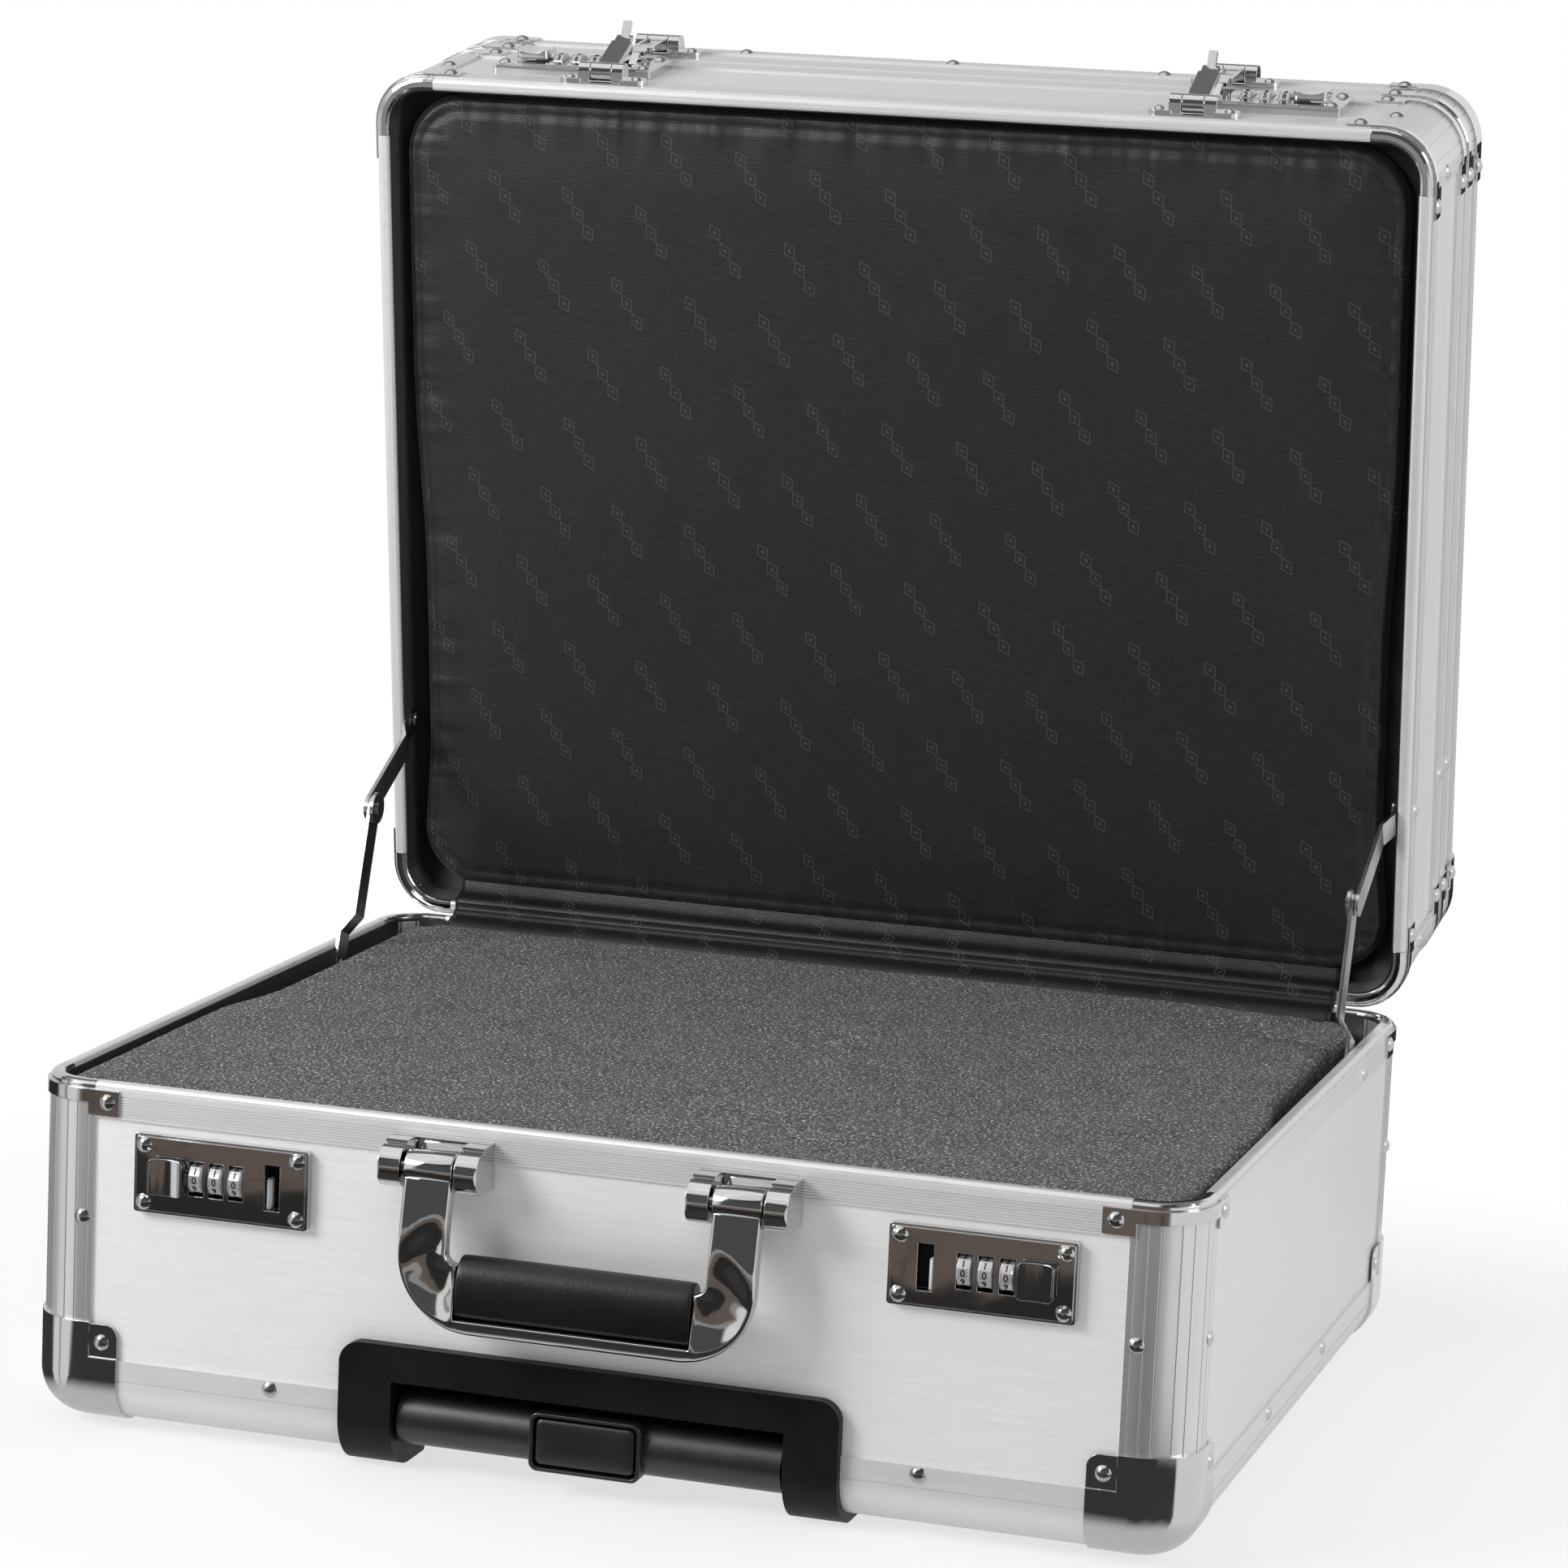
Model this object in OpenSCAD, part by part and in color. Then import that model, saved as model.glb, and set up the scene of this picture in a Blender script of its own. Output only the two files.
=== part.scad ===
// Aluminium-framed trolley case with a laptop compartment in its lid, lid open.
// Origin: centre of the base's bottom panel, on its outer face. X to the right,
// Y to the hinges, Z up. The feet reach below the bottom panel.

/* [Case] */
// overall width of the frame
case_w = 465; // [450:1:500]
// overall depth of the frame, front to hinge side
case_d = 382; // [370:1:410]
// height of the base, bottom panel to rim
base_h = 136; // [134:1:150]
// depth of the lid ring
ring_h = 72; // [71:0.5:80]
// depth of the compartment cover
cover_h = 37.4; // [36:0.2:42]
// plan radius of the corner posts
corner_r = 22; // [20:0.5:24]
// opening angle of the lid as drawn
lid_open = 81.6; // [76:0.2:83]
// gap between two closed rims
seam = 0.6; // [0.4:0.1:1.2]

/* [Frame] */
// height of a rim rail
rail_h = 14; // [13:0.5:15]
// thickness of a rim rail, front to back
rail_t = 6; // [5.8:0.1:6.2]
// height of the rounded lip on a rim rail
lip_h = 2.4; // [2:0.1:3]
// number of fine ribs on the front and rear rails
rib_n = 7; // [5:1:8]
// spacing of the fine ribs
rib_pitch = 1.1; // [0.9:0.05:1.2]
// thickness of the panels
panel_t = 3.5; // [3:0.1:3.8]
// thickness of the metal over the panel edges
skin_t = 1.2; // [1:0.1:1.4]
// width of a corner post on each face
post_w = 26.8; // [26:0.2:28]
// radius of the bottom edge rails
bottom_r = 17.5; // [16:0.5:18.5]
// height of the flat flange on the bottom rails
flange_h = 8.5; // [8:0.5:9]
// radius of the outer edge of the cover
edge_r = 7; // [6:0.5:8]

/* [Corners and rivets] */
// how far the corner caps stand proud
cap_t = 1; // [0.8:0.1:1.2]
// reach of the rim cap tabs from the outer corner
tab_reach = 37.4; // [37:0.2:39]
// reach of the ball corners from the outer corner
ball_reach = 38.5; // [38:0.5:40]
// height of the ball corners above the bottom
ball_h = 40.5; // [39:0.5:42]
// radius of a rivet head
rivet_r = 3.2; // [3:0.1:3.3]
// height of a rivet head
rivet_h = 1.5; // [1.4:0.1:1.7]

/* [Locks] */
// width of a lock plate
lock_w = 72; // [70:1:74]
// height of a lock plate
lock_h = 31; // [30:0.5:32]
// height of a lock plate over the frame's face
lock_t = 3.1; // [2.9:0.1:3.3]
// distance from the case's side to a lock's centre
lock_side = 81.1; // [79.1:0.5:84]
// drop from the rim to the centre of a base lock
lock_drop = 33.1; // [33:0.1:33.4]
// distance from the ring's near rim to a lid lock's centre
lid_lock_z = 42; // [41.6:0.1:42.2]
// radius of a number dial
dial_r = 6.3; // [6:0.1:6.4]
// width of a number dial
dial_w = 5.4; // [5:0.1:5.6]
// spacing of the number dials
dial_pitch = 8.2; // [8:0.1:8.4]
// side of the square thumb button
button_s = 14.4; // [13.6:0.2:14.8]
// travel of the thumb button
button_travel = 3; // [2:0.5:3]

/* [Hasps] */
// height of a hasp's pin over the frame's face
pin_off = 5; // [4.9:0.1:5.3]
// distance of a near hasp's pin from the rim
hasp_up = 8; // [7.8:0.1:8.4]
// radius of a hasp's barrel
barrel_r = 4; // [3.8:0.1:4.1]
// length of a hasp, pin to bend
hasp_l = 31.6; // [31.4:0.1:32]
// length of a hasp's tongue
tongue_l = 7.6; // [7:0.1:7.8]
// opening angle of the near hasps as drawn
hasp_open = 160; // [150:1:162]

/* [Carry handle] */
// handle bracket centre, from the middle
bracket_x = 61; // [60:0.5:64]
// width of a handle bracket
bracket_w = 39.6; // [39:0.2:41]
// width of the bow's arms
arm_w = 19.4; // [18.6:0.2:19.8]
// height of the handle's pin
handle_z = 120.3; // [119:0.1:121]
// distance of the handle's pin from the front
handle_off = 11.7; // [11.5:0.1:12]
// height of the bow's lowest edge
bow_low = 60; // [58:0.5:62]
// width of the black grip insert
grip_w = 93; // [88:1:96]

/* [Trolley handle] */
// width of the trolley bezel
bezel_w = 200; // [196:1:204]
// height of the bezel above the bottom panel
bezel_h = 47.3; // [46:0.1:48]
// width of the bezel's recess
recess_w = 157; // [150:1:160]
// height of the bezel's recess
recess_h = 33; // [32:0.5:33.4]
// radius of the trolley grip
tgrip_r = 11; // [10:0.2:11.4]
// spacing of the telescopic tubes, middle to centre
tube_x = 58; // [54:1:60]
// width of the trolley button
tbutton_w = 40; // [36:1:44]

/* [Wheels and feet] */
// wheel radius
wheel_r = 18; // [17:0.5:18]
// wheel width
wheel_w = 22; // [20:0.5:23]
// distance from the case's side to a wheel's centre
wheel_side = 63.5; // [63:0.5:72]
// how far the feet reach below the bottom panel
foot_h = 4; // [3:0.5:5]
// radius of a rear foot
foot_r = 9; // [7:0.5:10]

/* [Lid stays] */
// distance of the base pivot from the hinge
stay_base = 84.4; // [82.4:0.4:86]
// distance of the lid pivot from the hinge
stay_lid = 88; // [86:0.5:90]
// distance of both pivots from the rims
stay_drop = 10.2; // [9.2:0.2:10.4]
// length of the lower link
link_a = 71; // [70:0.5:74]
// length of the upper link
link_b = 67; // [66:0.5:70]
// width of a link
link_w = 11; // [9:0.5:11]
// thickness of a link
link_t = 1.6; // [1.2:0.1:1.6]

/* [Hinges] */
// distance from the case's side to a hinge's end
hinge_side = 47.5; // [45:0.5:60]
// number of knuckles on a hinge
hinge_n = 9; // [5:2:15]
// radius of a hinge's knuckles
knuckle_r = 2.5; // [2.2:0.1:2.5]
// height of a hinge's leaf
leaf_h = 12.5; // [10:0.5:12.5]

/* [Inside] */
// gap between the foam and the case's side, at the back
foam_gap = 17; // [16.5:0.5:22]
// gap between the foam's top and the rim
foam_low = 1.6; // [1:0.1:4]
// height of the raised inner floor
floor_z = 37; // [37:0.1:38]
// gap between the padded lining and the ring's rail, each side
lining_gap = 15; // [14.5:0.5:18]
// thickness of the padded lining
lining_t = 9; // [7:0.5:9.4]

/* [Hidden] */
$fn = 48;
hw = case_w / 2;
hd = case_d / 2;
cr = corner_r;
slot_a = skin_t;
slot_b = skin_t + panel_t;
slot_in = 3;
seam_z = bottom_r + flange_h;
lock_z = base_h - lock_drop;
lock_x = hw - lock_side;
wheel_x = hw - wheel_side;
foam_w = case_w - 2 * foam_gap;
hinge_l = case_w - 2 * hinge_side;
slot_x = lock_x - 21.5;
hx = slot_x + 0.1;
cover_z = ring_h + seam;
lid_top = cover_z + cover_h;
near_z = seam;
board_z = near_z + rail_h + 1.5;
cover_pin = lid_lock_z + lock_drop + hasp_up;
handle_y = -hd - handle_off;
grip_d = 10;
grip_z = 17;
wheel_y = hd + 10 - wheel_r;
wheel_z = wheel_r - foot_h;
box_d = 37;
stay_x1 = hw - rail_t - 0.3 - link_t;
stay_x2 = stay_x1 - 2 - link_t;
stay_x3 = stay_x2 - 0.4 - link_t;
// pivots and elbow of a stay in the side plane (y, z)
vy = cos(180 - lid_open);
vz = sin(180 - lid_open);
by = hd - stay_base;
bz = base_h - stay_drop;
ly = hd + stay_lid * vy + stay_drop * vz;
lz = base_h + stay_lid * vz - stay_drop * vy;
bl = sqrt((ly - by) * (ly - by) + (lz - bz) * (lz - bz));
ba = (link_a * link_a - link_b * link_b + bl * bl) / (2 * bl);
bh = sqrt(link_a * link_a - ba * ba);
ey = by + (ba * (ly - by) - bh * (lz - bz)) / bl;
ez = bz + (ba * (lz - bz) + bh * (ly - by)) / bl;
low_a = atan2(ez - bz, ey - by);
up_a = atan2(ez - lz, ey - ly);

// runs of a profile: x across, y inward from the face, z up
module ex_x(x0, x1) translate([x0, 0, 0]) rotate([90, 0, 90]) linear_extrude(x1 - x0) children();
module on_side(i) rotate([0, 0, 90 * i]) translate([0, -(i % 2 == 0 ? hd : hw), 0]) children();
function side_l(i) = (i % 2 == 0 ? hw : hd);
module on_corner(j, ox = 0, oy = 0)
  translate([(j == 0 || j == 3 ? 1 : -1) * (hw - cr), (j < 2 ? 1 : -1) * (hd - cr), 0])
    rotate([0, 0, 90 * j]) children();
module lid() translate([0, hd, base_h]) rotate([-lid_open, 0, 0]) children();
module lid_c() lid() translate([0, -hd, 0]) children();
module box(x0, x1, y0, y1, z0, z1) translate([x0, y0, z0]) cube([x1 - x0, y1 - y0, z1 - z0]);
module rod_x(x0, x1, y, z, r) translate([x0, y, z]) rotate([0, 90, 0]) cylinder(h = x1 - x0, r = r);
module rod_y(y0, y1, x, z, r) translate([x, y1, z]) rotate([90, 0, 0]) cylinder(h = y1 - y0, r = r);
module rr2(w, h, r) {
  square([w - 2 * r, h], center = true);
  square([w, h - 2 * r], center = true);
  for (a = [-1, 1], b = [-1, 1]) translate([a * (w / 2 - r), b * (h / 2 - r)]) circle(r);
}
module dome(r = rivet_r, h = rivet_h) {
  rs = (r * r + h * h) / (2 * h);
  intersection() {
    translate([0, 0, h - rs]) sphere(rs);
    cylinder(h = h + 1, r = r);
  }
}
// a rivet on a side face, at x along it, z up, standing on depth d
module side_rivet(i, x, z, d = 0) on_side(i) translate([x, d, z]) rotate([90, 0, 0]) dome();

// frame profiles; rim at z = 0, pointing up
module rim_profile() polygon([[0, -rail_h], [0, -lip_h], [0.5, -lip_h], [0.5, -1.5], [0.9, -0.7],
  [1.6, -0.2], [2.5, 0], [rail_t - 1.4, 0], [rail_t - 0.5, -0.4], [rail_t, -1.4],
  [rail_t, -rail_h], [slot_b, -rail_h], [slot_b, slot_in - rail_h], [slot_a, slot_in - rail_h],
  [slot_a, -rail_h]]);
module rim_rail(i, ribbed) on_side(i) difference() {
  ex_x(post_w + 0.1 - side_l(i), side_l(i) - post_w - 0.1) rim_profile();
  if (ribbed) for (k = [0 : rib_n])
    box(-hw, hw, -1, 0.45, 0.9 + k * rib_pitch - rail_h, 1.35 + k * rib_pitch - rail_h);
}
module post_2d(r) {
  intersection() { circle(r); square(r + 1); }
  translate([cr - post_w, 0]) square([post_w - cr, r]);
  translate([0, cr - post_w]) square([r, post_w - cr]);
  translate([cr - post_w, cr - post_w]) square(post_w - cr);
}
module post(j, z0, z1) on_corner(j) translate([0, 0, z0]) linear_extrude(z1 - z0) difference() {
  post_2d(cr);
  translate([-1, -1]) post_2d(cr - rail_t + 1);
  translate([cr - post_w - 1, cr - slot_b]) square([slot_in + 1, panel_t]);
  translate([cr - slot_b, cr - post_w - 1]) square([panel_t, slot_in + 1]);
  for (a = [6, 18, 38, 52, 72, 84]) rotate(a) translate([cr + 0.15, 0]) circle(0.42);
  translate([-2.2, cr + 0.15]) circle(0.42);
  translate([cr + 0.15, -2.2]) circle(0.42);
}
module cap_lip() polygon([[cr - rail_t, -3], [cr - rail_t, -1.3], [cr - rail_t + 0.6, -0.4],
  [cr - rail_t + 1.6, 0], [cr - 2.3, 0], [cr - 1, -0.5], [cr - 0.3, -1.5], [cr - 0.3, -3]]);
module cap_band() translate([cr, -8.2]) square([cap_t, 5.3]);
// rim cap: bright corner lip, narrow band round the corner, a tab on each face
module rim_cap(j) on_corner(j) {
  l = tab_reach - cr;
  rotate_extrude(angle = 90, $fn = 96) { cap_lip(); cap_band(); }
  for (m = [0, 1]) mirror([m, -m, 0]) {
    rotate([90, 0, 0]) linear_extrude(post_w - cr) cap_lip();
    translate([cr, 0, 0]) rotate([90, 0, 90]) linear_extrude(cap_t) {
      translate([-l, -8.2]) square([l, 5.3]);
      translate([-l, -12.3]) square([l - 2.4, 5]);
      translate([-l + 0.8, -13.1]) square([l - 4, 5]);
      translate([-l + 0.8, -12.3]) circle(0.8);
      translate([-3.2, -12.3]) circle(0.8);
    }
  }
}
module bottom_profile(r, fl) {
  intersection() {
    translate([r, r]) difference() { circle(r); circle(r - 3); }
    square(r);
  }
  difference() {
    translate([0, r]) square([rail_t, fl]);
    translate([slot_a, r + fl - slot_in]) square([panel_t, slot_in + 1]);
  }
}
module bottom_rail(i, x0, x1, r = bottom_r, fl = flange_h) on_side(i) difference() {
  ex_x(x0, x1) bottom_profile(r, fl);
  box(x0 - 1, x1 + 1, -1, 0.3, r - 0.25, r + 0.25);
}
// ball corner: a shell round the bottom corner with a tab on each face
module ball_2d(r, h, g) {
  difference() {
    union() {
      intersection() { translate([cr - r, r]) circle(r + g); translate([cr - r, -3]) square([r + 9,
          r + 3]); }
      translate([cr - r - 1, r]) square([r + g + 1, h - r]);
      translate([cr - r - 1, -g]) square([1, g]);
    }
    intersection() { translate([cr - r, r]) circle(r); translate([cr - r, 0]) square([r + 9, r]); }
    translate([cr - r - 3, r]) square([r + 3, h]);
    translate([cr - r - 3, 0]) square([3, h]);
  }
}
module ball_corner(j, r, h, reach) on_corner(j) {
  g = 1.2;
  l = reach - cr;
  n = post_w - cr;
  rotate_extrude(angle = 90, $fn = 96) ball_2d(r, h, g);
  for (m = [0, 1]) mirror([m, -m, 0]) {
    rotate([90, 0, 0]) linear_extrude(n) ball_2d(r, h, g);
    translate([0, -n, 0]) rotate([90, 0, 0]) linear_extrude(l - n) ball_2d(r, r + flange_h + 0.6, g);
    translate([cr, 0, 0]) rotate([90, 0, 90]) linear_extrude(0.7) {
      translate([-l, r + flange_h]) square([l - n, h - r - flange_h - 5]);
      translate([-l + 5, h - 6]) square([l - n - 5, 5.4]);
      intersection() {
        translate([-l + 5.2, h - 5.8]) circle(5.2);
        translate([-l - 1, r + flange_h]) square([l - n + 1, 40]);
      }
    }
  }
}

// a frame section's rim corners with rivets
module rim_rivets(z) for (i = [0 : 3], s = [-1, 1]) side_rivet(i, s * (side_l(i) - 32.4), z, -cap_t);

module lock_cut(z) for (s = [-1, 1]) box(s * lock_x - 27, s * lock_x + 27, -hd - 1, -hd + 9, z - 9.8,
    z + 9.8);

module base_panels() color([0.84, 0.85, 0.86]) {
  px = hw - post_w + slot_in - 0.2;
  py = hd - post_w + slot_in - 0.2;
  zb = seam_z - slot_in;
  zt = base_h - rail_h + slot_in;
  difference() {
    box(-px, px, -hd + slot_a, -hd + slot_b, zb, zt);
    lock_cut(lock_z);
    box(-recess_w / 2 - 3.2, recess_w / 2 + 3.2, -hd, -hd + 9, 0, recess_h + 3.2);
    box(-bezel_w / 2, bezel_w / 2, -hd, -hd + 9, 0, seam_z);
  }
  difference() {
    box(-px, px, hd - slot_b, hd - slot_a, zb, zt);
    for (s = [-1, 1]) box(s * wheel_x - 17.2, s * wheel_x + 17.2, hd - 9, hd, 0, 36.9);
  }
  for (s = [-1, 1]) box(s > 0 ? hw - slot_b : -hw + slot_a, s > 0 ? hw - slot_a : -hw + slot_b, -py,
      py, zb, zt);
  difference() {
    linear_extrude(panel_t) rr2(case_w - 2 * bottom_r, case_d - 2 * bottom_r, 4.4);
    box(-recess_w / 2 - 3.2, recess_w / 2 + 3.2, -hd, -hd + box_d + 0.2, -1, 9);
    for (s = [-1, 1]) box(s * wheel_x - 17.2, s * wheel_x + 17.2, wheel_y - wheel_r - 5.2, hd, -1, 9);
  }
  difference() {
    box(-hw + slot_b + 0.2, hw - slot_b - 0.2, -hd + slot_b + 0.2, hd - slot_b - 0.2, floor_z, floor_z + 3);
    for (a = [-1, 1], b = [-1, 1]) translate([a * hw, b * hd, floor_z + 1]) cube([2 * post_w + 0.4,
        2 * post_w + 0.4, 9], center = true);
  }
}
module base_posts() color([0.78, 0.79, 0.8]) for (j = [0 : 3]) post(j, bottom_r + 0.2, base_h - 3);
module base_rails() color([0.8, 0.81, 0.82]) {
  e = hw - post_w;
  translate([0, 0, base_h]) {
    for (i = [0, 1, 3]) rim_rail(i, i == 0);
    difference() {
      rim_rail(2, true);
      rod_x(-hinge_l / 2 - 1, hinge_l / 2 + 1, hd, 0, 3.2);
    }
  }
  bottom_rail(0, -e, -bezel_w / 2);
  bottom_rail(0, bezel_w / 2, e);
  bottom_rail(1, -hd + post_w, hd - post_w);
  bottom_rail(3, -hd + post_w, hd - post_w);
  bottom_rail(2, -e, -wheel_x - 17.2);
  bottom_rail(2, wheel_x + 17.2, e);
  bottom_rail(2, -wheel_x + 17.2, wheel_x - 17.2);
}
module base_corners() color([0.75, 0.76, 0.78]) {
  translate([0, 0, base_h]) for (j = [0 : 3]) rim_cap(j);
  for (j = [0 : 3]) ball_corner(j, bottom_r, ball_h, ball_reach);
}
module stay_pin(s, y, z) {
  rod_x(s > 0 ? stay_x1 - 0.4 : -hw + rail_t, s > 0 ? hw - rail_t : -stay_x1 + 0.4, y, z, 2);
  rod_x(s > 0 ? stay_x1 - 1.6 : -stay_x1 + 0.4, s > 0 ? stay_x1 - 0.4 : -stay_x1 + 1.6, y, z, 3.6);
}
module base_rivets() color([0.7, 0.7, 0.72]) {
  rim_rivets(base_h - 7.6);
  for (i = [0 : 3], s = [-1, 1]) {
    side_rivet(i, s * (side_l(i) - 22.4), base_h - 54);
    side_rivet(i, s * (side_l(i) - 32), 32.7, -0.7);
  }
  for (s = [-1, 1]) {
    side_rivet(0, s * 130, seam_z - 3.4);
    side_rivet(2, s * 110, seam_z - 3.4);
    for (i = [1, 3]) side_rivet(i, s * 52, seam_z - 3.4);
    side_rivet(s > 0 ? 1 : 3, s * by, bz);
    stay_pin(s, by, bz);
  }
}
module base_foam() color([0.22, 0.22, 0.23]) translate([0, 0, floor_z + 3.1])
  linear_extrude(base_h - foam_low - floor_z - 3.1) difference() {
    x = foam_w / 2;
    polygon([[-x - 7.5, -hd + 7.5], [x + 7.5, -hd + 7.5], [x + 7.5, -40], [x, 15], [x, hd - 13],
      [-x, hd - 13], [-x, 15], [-x - 7.5, -40]]);
    for (a = [-1, 1]) {
      translate([a * hw, -hd]) square(2 * post_w - 21.4, center = true);
      translate([a * hw, hd]) square(2 * post_w - 7, center = true);
    }
  }

// lock: x outward of the case, face at y = 0, outward is -y, centred on the plate
module lock_plate() difference() {
  union() {
    translate([0, slot_a, 0]) rotate([90, 0, 0]) linear_extrude(lock_t + slot_a - 0.7) rr2(lock_w,
        lock_h, 1.4);
    translate([0, 0, 0]) rotate([90, 0, 0]) linear_extrude(lock_t) rr2(lock_w - 2, lock_h - 2, 1);
    for (a = [-1, 1], b = [-1, 1]) translate([a * (lock_w / 2 - 4.4), -lock_t, b * (lock_h / 2 - 4.2)])
      rotate([90, 0, 0]) dome(3.1, 1.5);
    rod_x(-dial_pitch * 1.5 - 1, dial_pitch * 1.5 + 4.5, 0.2, 0, 1.1);
  }
  for (k = [-1 : 1]) translate([1.6 + k * dial_pitch, 0, 0]) difference() {
    cube([dial_w + 0.6, 20, 13.6], center = true);
    rod_x(-9, 9, 0.2, 0, 1.1);
  }
  box(12.6, 12.6 + 8 + button_travel + 1.4, -9, 9, -2.6, 2.6);
  box(-24.6, -18.4, -9, 9, -9, 9);
  box(-21, -15.4, -1.9, 9, -9.5, 3.4);
}
module at_base_lock(s) translate([s * lock_x, -hd, lock_z]) mirror([s > 0 ? 0 : 1, 0, 0]) children();
module at_lid_lock(s) lid_c() translate([s * lock_x, -hd, lid_lock_z]) mirror([s > 0 ? 0 : 1, 0, 0])
    children();
module dial(k) translate([1.6 + k * dial_pitch - dial_w / 2, 0.2, 0]) rotate([0, 90, 0]) difference() {
  union() {
    cylinder(h = dial_w, r = dial_r - 0.35, $fn = 10);
    translate([0, 0, 0.7]) cylinder(h = dial_w - 1.4, r = dial_r, $fn = 10);
  }
  translate([0, 0, -1]) cylinder(h = dial_w + 2, r = 1.15);
}
module slide() {
  bx = 21.3;
  difference() {
    union() {
      translate([bx, -lock_t - 0.8, 0]) rotate([90, 0, 0]) linear_extrude(3.8) rr2(button_s, button_s, 2.4);
      translate([bx, -lock_t - 4, 0]) rotate([90, 0, 0]) linear_extrude(1.4) rr2(button_s - 1.6,
          button_s - 1.6, 1.9);
    }
    translate([bx, -lock_t - 0.8 - 3.4 - 14, -20]) cylinder(h = 40, r = 14.9, $fn = 96);
  }
  box(13.4, 21, -lock_t - 1, 3.3, -2, 2);
  box(13.4, 21, 1.6, 3.3, -9.2, -1);
  box(-20, 14, 1.6, 3.3, -9.2, -7.4);
  difference() {
    box(-20, -18.8, -1.6, 3.3, -9.2, 3);
    box(-21, -18, -9, 1.3, -9.3, -7);
  }
}
module base_locks() color([0.72, 0.72, 0.74]) for (s = [-1, 1]) at_base_lock(s) lock_plate();
module base_left_dial_1() color([0.6, 0.6, 0.62]) at_base_lock(-1) dial(1);
module base_left_dial_2() color([0.6, 0.6, 0.62]) at_base_lock(-1) dial(0);
module base_left_dial_3() color([0.6, 0.6, 0.62]) at_base_lock(-1) dial(-1);
module base_right_dial_1() color([0.6, 0.6, 0.62]) at_base_lock(1) dial(-1);
module base_right_dial_2() color([0.6, 0.6, 0.62]) at_base_lock(1) dial(0);
module base_right_dial_3() color([0.6, 0.6, 0.62]) at_base_lock(1) dial(1);
module base_left_slide() color([0.72, 0.72, 0.74]) at_base_lock(-1) slide();
module base_right_slide() color([0.72, 0.72, 0.74]) at_base_lock(1) slide();

// carry handle
module handle_brackets() color([0.74, 0.75, 0.77]) for (s = [-1, 1]) translate([s * bracket_x, -hd,
    handle_z]) {
  lr = 8.2;
  iw = arm_w / 2 + 1.2;
  for (a = [-1, 1]) difference() {
    union() {
      rod_x(a > 0 ? iw : -bracket_w / 2, a > 0 ? bracket_w / 2 : -iw, -handle_off, 0, lr);
      box(a > 0 ? iw : -bracket_w / 2, a > 0 ? bracket_w / 2 : -iw, -handle_off, 0, -lr, lr);
    }
    translate([a * (bracket_w / 2 + 1.3), -handle_off - lr, -9]) rotate([0, 0, a * 45]) cube([3, 3,
        30], center = true);
  }
  box(-bracket_w / 2, bracket_w / 2, -3.4, 0, 1, lr + 1.4);
  box(-bracket_w / 2, bracket_w / 2, 0, slot_a, -lr, -handle_z + base_h - rail_h);
  for (a = [-1, 1]) box(a > 0 ? iw : -bracket_w / 2, a > 0 ? bracket_w / 2 : -iw, -handle_off + 1, 0,
      lr - 1, lr + 1.4);
  rod_x(-iw - 1, iw + 1, -handle_off, 0, 2);
  rod_x(-iw - 1, iw + 1, -1.6, 3.6, 1.6);
}
module bow_2d(g = 0) {
  w = bracket_x + arm_w / 2 - g;
  r = 30 - g;
  difference() {
    union() {
      translate([-w, bow_low + g + r]) square([2 * w, handle_z - bow_low - g - r]);
      translate([-w + r, bow_low + g]) square([2 * w - 2 * r, 60]);
      for (a = [-1, 1]) translate([a * (w - r), bow_low + g + r]) circle(r, $fn = 96);
    }
    ww = bracket_x - arm_w / 2 + g;
    translate([-ww, bow_low + 31]) square([2 * ww, 90]);
    translate([-ww + 4, bow_low + 27]) square([2 * ww - 8, 9]);
    for (a = [-1, 1]) translate([a * (ww - 4), bow_low + 31]) circle(4);
  }
}
module handle_bow() color([0.74, 0.75, 0.77]) difference() {
  union() {
    intersection() {
      translate([0, -hd, 0]) rotate([90, 0, 0]) linear_extrude(40) bow_2d();
      ex_x(-100, 100) translate([-hd + 223, 74]) difference() {
        circle(246.6, $fn = 360);
        circle(241.6, $fn = 360);
        translate([-200, -260]) square(520);
      }
    }
    // the lower lip under the grip
    intersection() {
      translate([0, -hd - 9.5, 0]) rotate([90, 0, 0]) linear_extrude(16.5) difference() {
        bow_2d();
        translate([-100, bow_low + 6.4]) square([200, 90]);
      }
      box(-100, 100, -hd - 30, -hd, 0, 200);
    }
    for (s = [-1, 1]) rod_x(s * bracket_x - arm_w / 2, s * bracket_x + arm_w / 2, handle_y, handle_z, 7);
  }
  for (s = [-1, 1]) rod_x(s * bracket_x - 11, s * bracket_x + 11, handle_y, handle_z, 2.06);
  box(-grip_w / 2 - 0.1, grip_w / 2 + 0.1, -hd - 40, -hd, bow_low + 6.4, bow_low + 60);
}
module handle_grip() color([0.05, 0.05, 0.05]) ex_x(-grip_w / 2, grip_w / 2) translate([-hd,
    bow_low + 6.4]) {
  translate([-23.6, 0]) square([13.4, 17.4]);
  translate([-16.9, 17.4]) intersection() { circle(6.7); translate([-9, 0]) square(18); }
  translate([-23.6, 8.7]) intersection() { translate([9, 0]) circle(12.5); translate([-9, -8.7])
      square([10, 17.4]); }
}

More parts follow.
